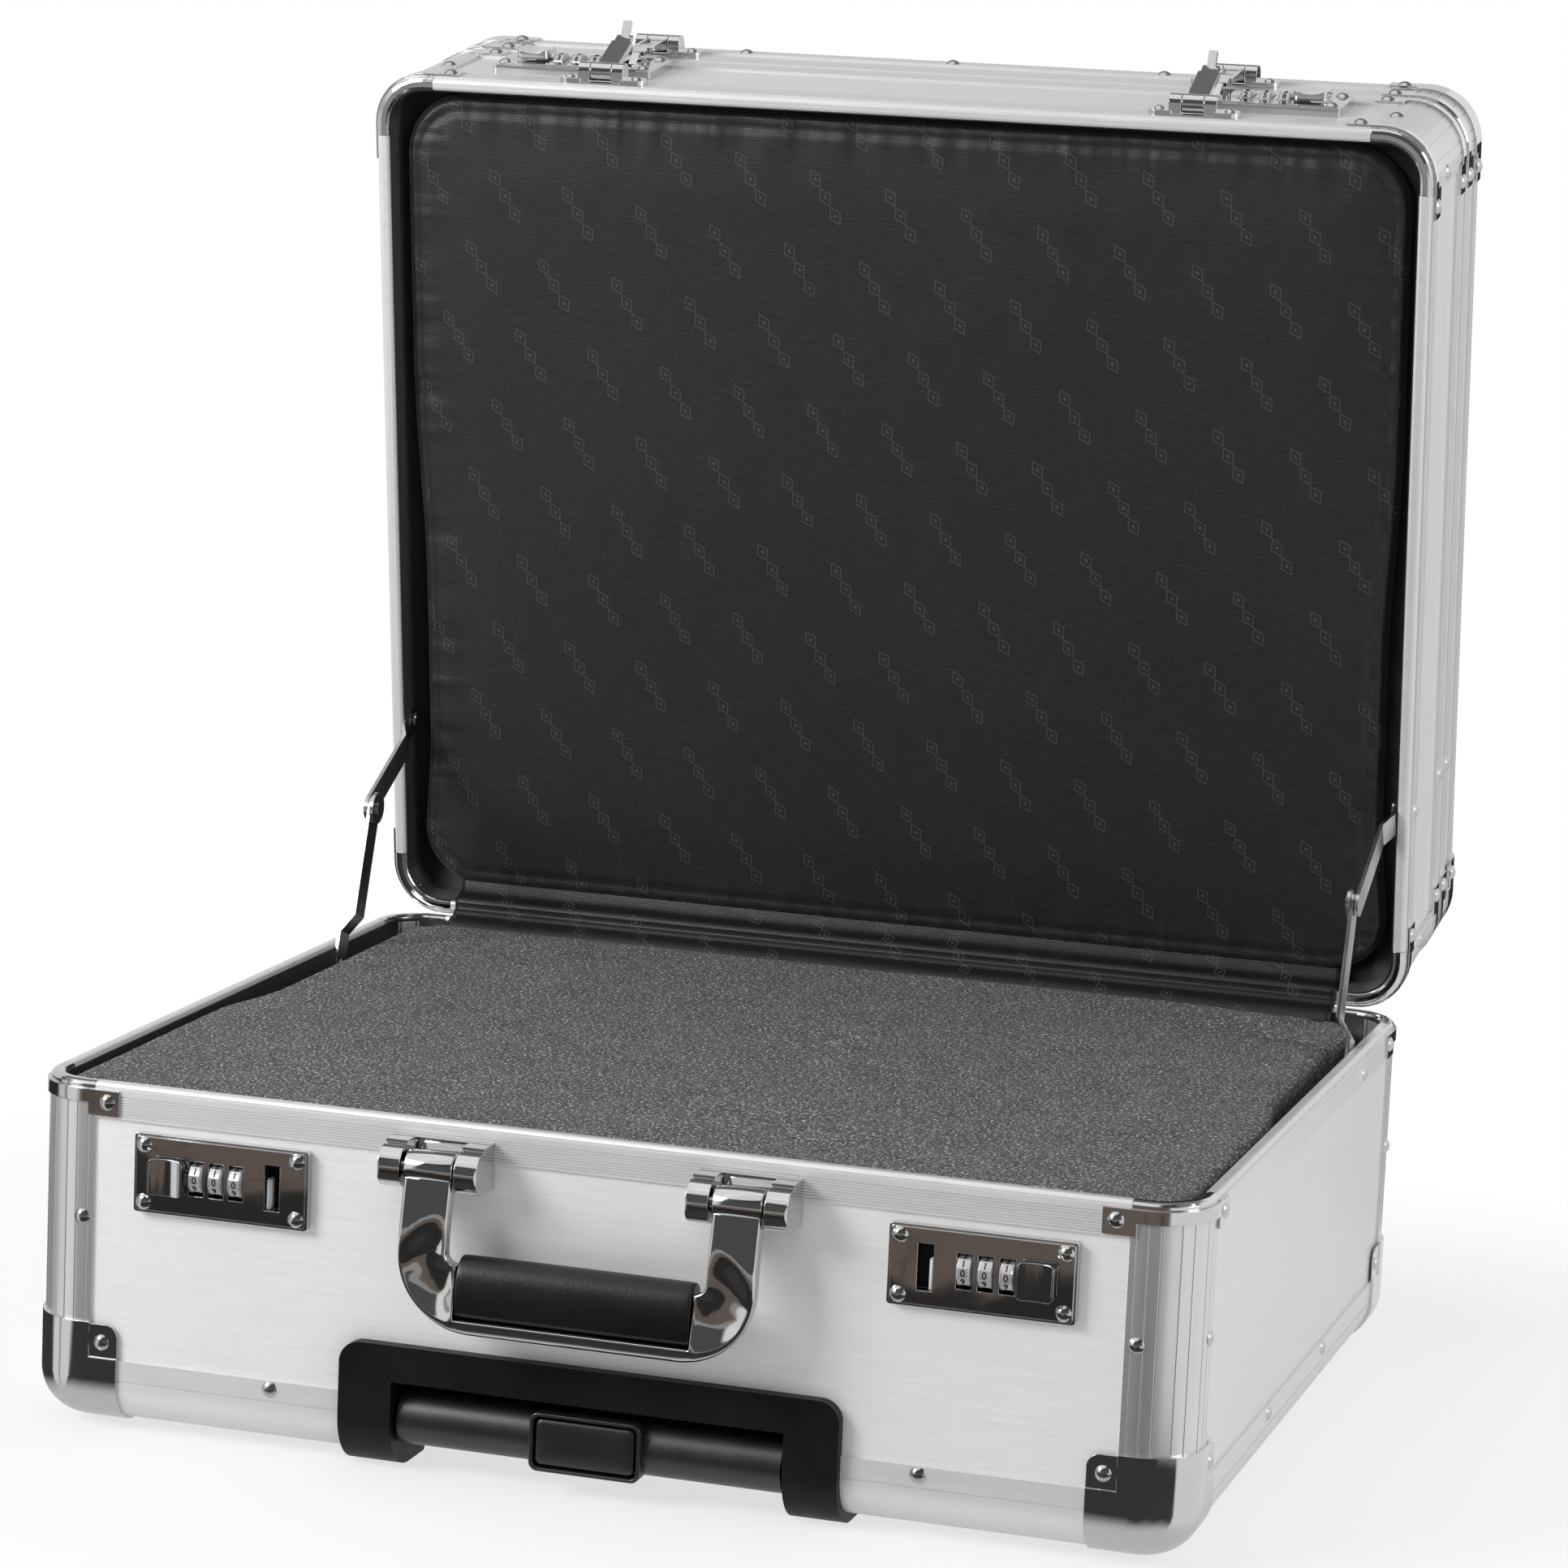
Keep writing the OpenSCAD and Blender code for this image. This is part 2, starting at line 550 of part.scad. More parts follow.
// trolley handle: grip bar in a black recess, three-stage tubes under the floor
module bezel_leg() polygon(concat([[slot_a, 40], [-4, 40]],
  [for (a = [0 : 5 : 90]) [bottom_r - (bottom_r + 4) * cos(a), bottom_r - (bottom_r + foot_h) * sin(a)]],
  [[34, -foot_h], [36, 0], [bottom_r, 0], [bottom_r, panel_t + 0.2], [26, panel_t + 0.2], [26,
      seam_z - slot_in], [slot_a, seam_z - slot_in]]));
module trolley_bezel() color([0.06, 0.06, 0.06]) difference() {
  union() {
    translate([0, -hd + slot_a, 0]) rotate([90, 0, 0]) linear_extrude(slot_a + 4) difference() {
      union() {
        translate([-bezel_w / 2, seam_z - 4]) square([bezel_w, bezel_h - seam_z - 4.5]);
        translate([-bezel_w / 2 + 8.5, bezel_h - 9]) square([bezel_w - 17, 9]);
        for (a = [-1, 1]) translate([a * (bezel_w / 2 - 8.5), bezel_h - 8.5]) circle(8.5);
      }
    }
    for (a = [-1, 1]) translate([0, -hd, 0]) ex_x(a > 0 ? recess_w / 2 : -bezel_w / 2,
        a > 0 ? bezel_w / 2 : -recess_w / 2) bezel_leg();
    box(-recess_w / 2 - 3, recess_w / 2 + 3, -hd - 3.9, -hd + box_d, bottom_r, recess_h + 3);
    box(-recess_w / 2 - 3, recess_w / 2 + 3, -hd + bottom_r, -hd + box_d, 0, recess_h + 3);
  }
  box(-recess_w / 2, recess_w / 2, -hd - 9, -hd + box_d - 3, -9, recess_h);
  for (s = [-1, 1]) translate([s * tube_x, -hd + box_d - 9, grip_z]) rotate([-90, 0, 0])
      linear_extrude(20) rr2(17.4, 11.4, 2.2);
  for (s = [-1, 1]) box(s > 0 ? recess_w / 2 + 3 : -bezel_w / 2 - 1,
      s > 0 ? bezel_w / 2 + 1 : -recess_w / 2 - 3,
    -hd + 26, -hd + 60, -0.01, 60);
}
module tube(s, y0, y1, w, h, t, r) translate([s * tube_x, y0, grip_z]) rotate([-90, 0, 0])
    linear_extrude(y1 - y0) difference() {
  rr2(w, h, r);
  rr2(w - 2 * t, h - 2 * t, r - t / 2);
}
tube_y = -hd + box_d + 0.2;
tube_e = hd - 40;
module trolley_outer_tubes() color([0.7, 0.7, 0.72]) for (s = [-1, 1]) {
  tube(s, tube_y, tube_e, 20, 14, 1, 3);
  for (y = [-90, 20, 110]) difference() {
    box(s * tube_x - 14, s * tube_x + 14, y, y + 12, panel_t, floor_z);
    translate([s * tube_x, y - 1, grip_z]) rotate([-90, 0, 0]) linear_extrude(14) rr2(19.9, 13.9, 2.9);
  }
}
module trolley_middle_tubes() color([0.7, 0.7, 0.72]) for (s = [-1, 1]) tube(s, tube_y - 2, tube_e - 6,
    17, 11, 1, 2.4);
module trolley_inner_tubes() color([0.7, 0.7, 0.72]) for (s = [-1, 1]) tube(s, -hd + grip_d + 4,
    tube_e - 12, 14, 8, 1, 1.8);
// one end socket of the grip, seated in a pocket of its bar
module grip_stub(l, grow) linear_extrude(l) rr2(22 + 2 * grow, 15 + 2 * grow, 4 + grow);
module trolley_grip() color([0.07, 0.07, 0.07]) {
  difference() {
    rod_x(-recess_w / 2 + 1.6, recess_w / 2 - 1.6, -hd + grip_d, grip_z, tgrip_r);
    for (s = [-1, 1]) translate([s * tube_x, -hd + grip_d, grip_z]) rotate([-90, 0, 0])
        grip_stub(20, 0.02);
    translate([0, -hd + grip_d - tgrip_r - 1, grip_z]) rotate([-90, 0, 0]) linear_extrude(9)
        rr2(tbutton_w + 3, 23, 2.5);
    rod_y(-hd, -hd + grip_d + 3.4, 0, grip_z, 3.05);
  }
  for (s = [-1, 1]) translate([s * tube_x, -hd + grip_d, grip_z]) rotate([-90, 0, 0]) difference() {
    grip_stub(16, 0);
    translate([0, 0, 3.95]) linear_extrude(30) rr2(14.02, 8.02, 1.81);
  }
}
module trolley_button() color([0.05, 0.05, 0.05]) {
  intersection() {
    rod_x(-tbutton_w / 2, tbutton_w / 2, -hd + grip_d, grip_z, tgrip_r - 0.4);
    translate([0, -hd - 20, grip_z]) rotate([-90, 0, 0]) linear_extrude(20 + grip_d - tgrip_r + 4.6)
        rr2(tbutton_w, 18.6, 2);
  }
  rod_y(-hd + 2, -hd + grip_d, 0, grip_z, 3);
}

// wheels at the rear bottom edge
module wheel_housings() color([0.08, 0.08, 0.08]) {
  for (s = [-1, 1]) {
    translate([s * wheel_x, 0, 0]) {
      difference() {
        box(-17, 17, wheel_y - wheel_r - 5, hd, 0, 36.8);
        box(-14.4, 14.4, wheel_y - wheel_r - 2.6, hd + 1, -1, 34.6);
        box(-18, 18, hd - slot_b - 0.2, hd - rail_t + 12, 36.9, 40);
      }
      rod_x(-17, 17, wheel_y, wheel_z, 3);
      for (a = [-1, 1]) rod_x(a > 0 ? wheel_w / 2 + 0.6 : -14.5, a > 0 ? 14.5 : -wheel_w / 2 - 0.6,
          wheel_y, wheel_z, 6);
    }
    rod_y(hd - slot_a, wheel_y + wheel_r - 2, s * (wheel_x - 4), base_h - 28, foot_r);
    rod_y(wheel_y + wheel_r - 2.1, wheel_y + wheel_r, s * (wheel_x - 4), base_h - 28, foot_r - 1.5);
  }
}
module wheel(s) translate([s * wheel_x - wheel_w / 2, wheel_y, wheel_z]) rotate([0, 90, 0]) difference() {
  union() {
    cylinder(h = wheel_w, r = wheel_r - 1.6, $fn = 72);
    translate([0, 0, 2]) cylinder(h = wheel_w - 4, r = wheel_r, $fn = 72);
  }
  translate([0, 0, -1]) cylinder(h = wheel_w + 2, r = 3.06);
  for (z = [-1, wheel_w - 3]) translate([0, 0, z]) difference() {
    cylinder(h = 4, r = wheel_r - 5);
    translate([0, 0, -1]) cylinder(h = 6, r = 6);
  }
}
module left_wheel() color([0.12, 0.12, 0.12]) wheel(-1);
module right_wheel() color([0.12, 0.12, 0.12]) wheel(1);

// hinges: knuckles on one pin, leaves on the rear faces
module knuckles(first) for (k = [first : 2 : hinge_n - 1]) {
  x0 = -hinge_l / 2 + k * hinge_l / hinge_n;
  rod_x(x0 + 0.2, x0 + hinge_l / hinge_n - 0.2, 0, 0, knuckle_r);
}
module leaf_web(first, up) for (k = [first : 2 : hinge_n - 1]) {
  x0 = -hinge_l / 2 + k * hinge_l / hinge_n;
  box(x0 + 0.2, x0 + hinge_l / hinge_n - 0.2, 0, 1.2, up > 0 ? 0.4 : -5, up > 0 ? 5 : -0.4);
}
module leaf(first, up) {
  difference() {
    union() { knuckles(first); leaf_web(first, up); }
    rod_x(-hinge_l, hinge_l, 0, 0, 1.1);
  }
  box(-hinge_l / 2, hinge_l / 2, 0, 1.2, up > 0 ? 4 : -leaf_h, up > 0 ? leaf_h : -4);
  for (k = [-2.5 : 2.5]) translate([k * hinge_l / 5.8, 1.2, up * 8.2]) rotate([-90, 0, 0]) dome(2, 0.9);
}
module hinge_pin() rod_x(-hinge_l / 2 + 0.4, hinge_l / 2 - 0.4, 0, 0, 1.04);
module base_hinge() color([0.72, 0.73, 0.75]) translate([0, hd, base_h]) { leaf(0, -1); hinge_pin(); }
module lid_hinges() color([0.72, 0.73, 0.75]) lid() {
  leaf(1, 1);
  translate([0, 0, ring_h + seam / 2]) { leaf(0, -1); hinge_pin(); }
}
module cover_hinge() color([0.72, 0.73, 0.75]) lid() translate([0, 0, ring_h + seam / 2]) leaf(1, 1);

// lid stays: two flat links each side, cranked near the case, riveted at the elbow
module crank(l, e, a0, a1, b0, b1) intersection() {
  rotate([0, -90, 0]) rotate([0, 0, 90]) translate([0, 0, -300]) linear_extrude(600) {
    circle(link_w / 2);
    translate([0, -link_w / 2]) square([l, link_w]);
    translate([l, 0]) circle(link_w / 2);
  }
  translate([0, 0, -20]) linear_extrude(40)
    polygon([[a0, -20], [a1, -20], [a1, e], [b1, e + 8], [b1, l + 20], [b0, l + 20], [b0, e + 8.4],
        [a0, e + 0.4]]);
}
module lower_stay(s) color([0.7, 0.71, 0.72]) mirror([s > 0 ? 0 : 1, 0, 0]) translate([0, by, bz])
    rotate([low_a, 0, 0]) difference() {
  union() {
    crank(link_a, 14, stay_x1, stay_x1 + link_t, stay_x3, stay_x3 + link_t);
    rod_x(stay_x3 - 1.3, stay_x3 + 0.3, link_a, 0, 7);
    rod_x(stay_x3 - 2.3, stay_x3 - 1.2, link_a, 0, 3);
  }
  rod_x(stay_x3 - 9, stay_x1 + 9, 0, 0, 2.06);
}
module upper_stay(s) color([0.7, 0.71, 0.72]) mirror([s > 0 ? 0 : 1, 0, 0]) translate([0, ly, lz])
    rotate([up_a, 0, 0]) difference() {
  crank(link_b, 11, stay_x1, stay_x1 + link_t, stay_x2, stay_x2 + link_t);
  rod_x(stay_x3 - 9, stay_x1 + 9, 0, 0, 2.06);
}
module left_lower_stay() lower_stay(-1);
module right_lower_stay() lower_stay(1);
module left_upper_stay() upper_stay(-1);
module right_upper_stay() upper_stay(1);

// lid ring
module lid_panels() color([0.84, 0.85, 0.86]) lid_c() {
  px = hw - post_w + slot_in - 0.2;
  py = hd - post_w + slot_in - 0.2;
  z0 = near_z + rail_h - slot_in;
  z1 = ring_h - rail_h + slot_in;
  difference() {
    box(-px, px, -hd + slot_a, -hd + slot_b, z0, z1);
    lock_cut(lid_lock_z);
  }
  box(-px, px, hd - slot_b, hd - slot_a, z0, z1);
  for (s = [-1, 1]) box(s > 0 ? hw - slot_b : -hw + slot_a, s > 0 ? hw - slot_a : -hw + slot_b, -py,
      py, z0, z1);
  difference() {
    box(-hw + slot_b + 0.2, hw - slot_b - 0.2, -hd + slot_b + 0.2, hd - slot_b - 0.2, board_z, board_z + 3);
    for (a = [-1, 1], b = [-1, 1]) translate([a * hw, b * hd, 20])
      cube([2 * post_w + 0.4, 2 * post_w + 0.4, 30], center = true);
  }
}
module lid_frame() color([0.8, 0.81, 0.82]) lid_c() {
  translate([0, 0, near_z]) mirror([0, 0, 1]) {
    for (i = [0, 1, 3]) rim_rail(i, false);
    difference() { rim_rail(2, false); rod_x(-hinge_l / 2 - 1, hinge_l / 2 + 1, hd, near_z, 3.2); }
  }
  translate([0, 0, ring_h]) {
    for (i = [0, 1, 3]) rim_rail(i, false);
    difference() { rim_rail(2, false); rod_x(-hinge_l / 2 - 1, hinge_l / 2 + 1, hd, seam / 2, 3.2); }
  }
  for (j = [0 : 3]) post(j, near_z + 3, ring_h - 3);
}
module lid_corners() color([0.75, 0.76, 0.78]) lid_c() {
  translate([0, 0, near_z]) mirror([0, 0, 1]) for (j = [0 : 3]) rim_cap(j);
  translate([0, 0, ring_h]) for (j = [0 : 3]) rim_cap(j);
}
module lid_rivets() color([0.7, 0.7, 0.72]) {
  lid_c() {
    rim_rivets(near_z + 8);
    rim_rivets(ring_h - 7.6);
    for (i = [0 : 3], s = [-1, 1]) side_rivet(i, s * (side_l(i) - 22.4), 33);
    for (i = [1, 3]) {
      side_rivet(i, (i == 1 ? 1 : -1) * (hd - stay_lid), stay_drop);
      side_rivet(i, (i == 1 ? 1 : -1) * (hd - stay_lid), ring_h - 7.6);
    }
  }
  for (s = [-1, 1]) stay_pin(s, ly, lz);
}
module lid_lining() color([0.05, 0.05, 0.06]) lid_c() {
  w = case_w - 2 * (rail_t + lining_gap);
  d = case_d - 2 * (rail_t + 6);
  zt = board_z - 0.05;
  for (k = [0 : 3]) translate([0, 0, zt - lining_t + k * 1.4])
    linear_extrude(lining_t - k * 1.4) rr2(w - 16 + [0, 8, 13, 16][k], d - 16 + [0, 8, 13, 16][k], 10 + k);
}
module lid_locks() color([0.72, 0.72, 0.74]) for (s = [-1, 1]) at_lid_lock(s) lock_plate();
module lid_left_dial_1() color([0.6, 0.6, 0.62]) at_lid_lock(-1) dial(1);
module lid_left_dial_2() color([0.6, 0.6, 0.62]) at_lid_lock(-1) dial(0);
module lid_left_dial_3() color([0.6, 0.6, 0.62]) at_lid_lock(-1) dial(-1);
module lid_right_dial_1() color([0.6, 0.6, 0.62]) at_lid_lock(1) dial(-1);
module lid_right_dial_2() color([0.6, 0.6, 0.62]) at_lid_lock(1) dial(0);
module lid_right_dial_3() color([0.6, 0.6, 0.62]) at_lid_lock(1) dial(1);
module lid_left_slide() color([0.72, 0.72, 0.74]) at_lid_lock(-1) slide();
module lid_right_slide() color([0.72, 0.72, 0.74]) at_lid_lock(1) slide();

// hasps: pivot at the origin, closed pointing to -z, outward is -y
module hasp() difference() {
  union() {
    rod_x(-4.6, 4.6, 0, 0, barrel_r);
    box(-4.6, 4.6, -1.6, 0.2, -hasp_l + 5, -1);
    box(-3.6, 3.6, -1.6, 0.2, -hasp_l, -hasp_l + 6);
    translate([0, -0.7, -hasp_l + 0.8]) rotate([37, 0, 0]) box(-1.8, 1.8, -0.9, 0.9, -tongue_l, 0);
    for (a = [-1, 1]) box(a > 0 ? 3.2 : -4.6, a > 0 ? 4.6 : -3.2, -2.6, -1, -hasp_l + 5, -3);
  }
  rod_x(-9, 9, 0, 0, 1.5);
}
module hasp_bracket() {
  for (a = [-1, 1]) {
    rod_x(a > 0 ? 4.9 : -10.2, a > 0 ? 10.2 : -4.9, -pin_off, 0, barrel_r);
    box(a > 0 ? 4.9 : -10.2, a > 0 ? 10.2 : -4.9, -pin_off, 0, -barrel_r, barrel_r);
    translate([a * 15, 0, 0]) rotate([90, 0, 0]) {
      cylinder(h = 2.4, r = 4.6);
      translate([0, 0, 2.4]) dome(2.5, 1.3);
    }
    box(a > 0 ? 9 : -15, a > 0 ? 15 : -9, -2.4, 0, -4.6, 4.6);
  }
  box(-10, 10, -0.8, 0, -4.6, 4.6);
  rod_x(-10, 10, -pin_off, 0, 1.44);
}
module at_pin(s, z, off = 0) lid_c() translate([s * hx, -hd - off, z]) children();
module lid_hasp_brackets() color([0.73, 0.74, 0.76]) for (s = [-1, 1]) at_pin(s, hasp_up) hasp_bracket();
module left_hasp() color([0.73, 0.74, 0.76]) at_pin(-1, hasp_up, pin_off) rotate([-hasp_open, 0, 0]) hasp();
module right_hasp() color([0.73, 0.74, 0.76]) at_pin(1, hasp_up, pin_off) rotate([-hasp_open, 0, 0]) hasp();
module cover_hasp_brackets() color([0.73, 0.74, 0.76]) for (s = [-1, 1]) at_pin(s, cover_pin)
    hasp_bracket();
module cover_left_hasp() color([0.73, 0.74, 0.76]) at_pin(-1, cover_pin, pin_off) hasp();
module cover_right_hasp() color([0.73, 0.74, 0.76]) at_pin(1, cover_pin, pin_off) hasp();

// compartment cover
edge_fl = 6.5;
module cover_panels() color([0.84, 0.85, 0.86]) lid_c() {
  px = hw - post_w + slot_in - 0.2;
  py = hd - post_w + slot_in - 0.2;
  z0 = cover_z + rail_h - slot_in;
  z1 = lid_top - edge_r - edge_fl + slot_in;
  for (s = [-1, 1]) {
    box(-px, px, s > 0 ? hd - slot_b : -hd + slot_a, s > 0 ? hd - slot_a : -hd + slot_b, z0, z1);
    box(s > 0 ? hw - slot_b : -hw + slot_a, s > 0 ? hw - slot_a : -hw + slot_b, -py, py, z0, z1);
  }
  translate([0, 0, lid_top - panel_t]) linear_extrude(panel_t) rr2(case_w - 2 * edge_r,
      case_d - 2 * edge_r, cr - edge_r);
}
module cover_frame() color([0.8, 0.81, 0.82]) lid_c() {
  translate([0, 0, cover_z]) mirror([0, 0, 1]) {
    for (i = [0, 1, 3]) rim_rail(i, false);
    difference() { rim_rail(2, false); rod_x(-hinge_l / 2 - 1, hinge_l / 2 + 1, hd, seam / 2, 3.2); }
  }
  translate([0, 0, lid_top]) mirror([0, 0, 1]) {
    for (i = [0 : 3]) bottom_rail(i, post_w + 0.1 - side_l(i), side_l(i) - post_w - 0.1, edge_r, edge_fl);
    for (j = [0 : 3]) post(j, edge_r + 0.2, lid_top - cover_z - 3);
  }
}
module cover_corners() color([0.75, 0.76, 0.78]) lid_c() {
  translate([0, 0, cover_z]) mirror([0, 0, 1]) for (j = [0 : 3]) rim_cap(j);
  translate([0, 0, lid_top]) mirror([0, 0, 1]) for (j = [0 : 3]) cover_ball(j);
}
module cover_ball(j) on_corner(j) {
  g = 1.1;
  h = edge_r + edge_fl + 4.2;
  l = ball_reach - cr;
  rotate_extrude(angle = 90, $fn = 96) ball_2d(edge_r, h, g);
  for (m = [0, 1]) mirror([m, -m, 0]) rotate([90, 0, 0]) {
    linear_extrude(post_w - cr - 1) ball_2d(edge_r, h, g);
    linear_extrude(l) ball_2d(edge_r, h - 4, g);
    linear_extrude(l - 1.6) translate([cr, edge_r]) square([0.7, h - edge_r]);
  }
}
module cover_rivets() color([0.7, 0.7, 0.72]) lid_c() {
  rim_rivets(cover_z + 7.6);
  for (i = [0 : 3], s = [-1, 1]) side_rivet(i, s * (side_l(i) - 32), lid_top - edge_r - 4, -1.1);
  for (i = [0, 2], x = [-95, 0, 95]) side_rivet(i, x, lid_top - edge_r - 3.4);
  for (i = [1, 3]) side_rivet(i, (i == 1 ? 1 : -1) * (hd - stay_lid), cover_z + 9);
}

base_panels();
base_posts();
base_rails();
base_corners();
base_rivets();
base_foam();
base_locks();
base_left_dial_1();
base_left_dial_2();
base_left_dial_3();
base_right_dial_1();
base_right_dial_2();
base_right_dial_3();
base_left_slide();
base_right_slide();
handle_brackets();
handle_bow();
handle_grip();
trolley_bezel();
trolley_outer_tubes();
trolley_middle_tubes();
trolley_inner_tubes();
trolley_grip();
trolley_button();
wheel_housings();
left_wheel();
right_wheel();
base_hinge();
left_lower_stay();
right_lower_stay();
left_upper_stay();
right_upper_stay();
lid_panels();
lid_frame();
lid_corners();
lid_rivets();
lid_lining();
lid_locks();
lid_left_dial_1();
lid_left_dial_2();
lid_left_dial_3();
lid_right_dial_1();
lid_right_dial_2();
lid_right_dial_3();
lid_left_slide();
lid_right_slide();
lid_hinges();
lid_hasp_brackets();
left_hasp();
right_hasp();
cover_panels();
cover_frame();
cover_corners();
cover_rivets();
cover_hinge();
cover_hasp_brackets();
cover_left_hasp();
cover_right_hasp();
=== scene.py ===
import math

import bpy
import bmesh
from mathutils import Matrix, Vector, noise


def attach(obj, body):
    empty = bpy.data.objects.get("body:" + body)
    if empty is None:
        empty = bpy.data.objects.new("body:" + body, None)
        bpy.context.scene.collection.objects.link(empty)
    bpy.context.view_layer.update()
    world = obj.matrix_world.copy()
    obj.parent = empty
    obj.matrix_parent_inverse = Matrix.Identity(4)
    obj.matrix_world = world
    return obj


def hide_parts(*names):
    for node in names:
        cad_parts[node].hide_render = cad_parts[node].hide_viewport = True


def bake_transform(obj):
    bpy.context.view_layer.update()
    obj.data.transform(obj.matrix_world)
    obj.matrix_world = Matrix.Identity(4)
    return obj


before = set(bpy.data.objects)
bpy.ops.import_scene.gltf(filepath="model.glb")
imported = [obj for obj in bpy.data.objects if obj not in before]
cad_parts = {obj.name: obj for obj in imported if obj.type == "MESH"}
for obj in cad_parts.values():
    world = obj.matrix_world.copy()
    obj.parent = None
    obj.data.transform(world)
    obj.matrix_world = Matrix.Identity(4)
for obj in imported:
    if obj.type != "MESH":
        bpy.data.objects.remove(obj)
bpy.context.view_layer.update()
bpy.context.scene.view_settings.view_transform = "Standard"
MM = 0.001
HINGE = Vector((0, 0.191, 0.136))
LID_OPEN = math.radians(81.6)
V_DIR = Vector((0, math.cos(math.pi - LID_OPEN), math.sin(math.pi - LID_OPEN)))
W_DIR = Vector((0, V_DIR.z, -V_DIR.y))
# half the case's width and depth, and its inner corner radius, in millimetres like all that follows
HW, HD = 232.5, 191.0
CORNER_R = 22.0
# middle of a lock from the case's middle, and of the dials from the lock's, with the dials' pitch
LOCK_X, DIALS_X, DIAL_PITCH = 151.4, 1.6, 8.2
# height of the locks on the base, and how far back they lie on the lid
LOCK_Z, LID_LOCK_W = 102.9, 42.0
# pin that the carry handle swings on
PIN_X, PIN_Y, PIN_Z = 61, -202.7, 120.3
# side of the square photograph and the camera's focal length, in pixels
PHOTO_PX, FOCAL_PX = 1932, 6541.732


def lid_at(x, v, w):
    """lid coordinates in millimetres: across, up from the hinge, back from the near rim"""
    return HINGE + Vector((x * MM, 0, 0)) + V_DIR * v * MM + W_DIR * w * MM


def base_at(x, y, z):
    return Vector((x * MM, y * MM, z * MM))


# ---------------------------------------------------------------- materials
class Val:
    """a number in a shader, with operators that add Math nodes"""

    def __init__(self, tree, socket):
        self.tree, self.socket = tree, socket

    def _do(self, kind, *others):
        n = self.tree.nodes.new("ShaderNodeMath")
        n.operation = kind
        for i, o in enumerate((self,) + others):
            if isinstance(o, Val):
                self.tree.links.new(o.socket, n.inputs[i])
            else:
                n.inputs[i].default_value = o
        return Val(self.tree, n.outputs[0])

    def __add__(self, o):
        return self._do("ADD", o)

    def __sub__(self, o):
        return self._do("SUBTRACT", o)

    def __mul__(self, o):
        return self._do("MULTIPLY", o)

    def __truediv__(self, o):
        return self._do("DIVIDE", o)

    def abs(self):
        return self._do("ABSOLUTE")

    def fract(self):
        return self._do("FRACT")

    def floor(self):
        return self._do("FLOOR")

    def max(self, o):
        return self._do("MAXIMUM", o)

    def min(self, o):
        return self._do("MINIMUM", o)

    def below(self, o):
        return self._do("LESS_THAN", o)

    def above(self, o):
        return self._do("GREATER_THAN", o)

    def power(self, o):
        return self._do("POWER", o)

    def sin(self):
        return self._do("SINE")

    def sign(self):
        return self._do("SIGN")

    def arctan2(self, o):
        return self._do("ARCTAN2", o)

    def ramp(self, lo, hi, a=0.0, b=1.0, smooth=False):
        n = self.tree.nodes.new("ShaderNodeMapRange")
        n.interpolation_type = "SMOOTHSTEP" if smooth else "LINEAR"
        self.tree.links.new(self.socket, n.inputs[0])
        for i, x in enumerate((lo, hi, a, b)):
            n.inputs[i + 1].default_value = x
        return Val(self.tree, n.outputs[0])


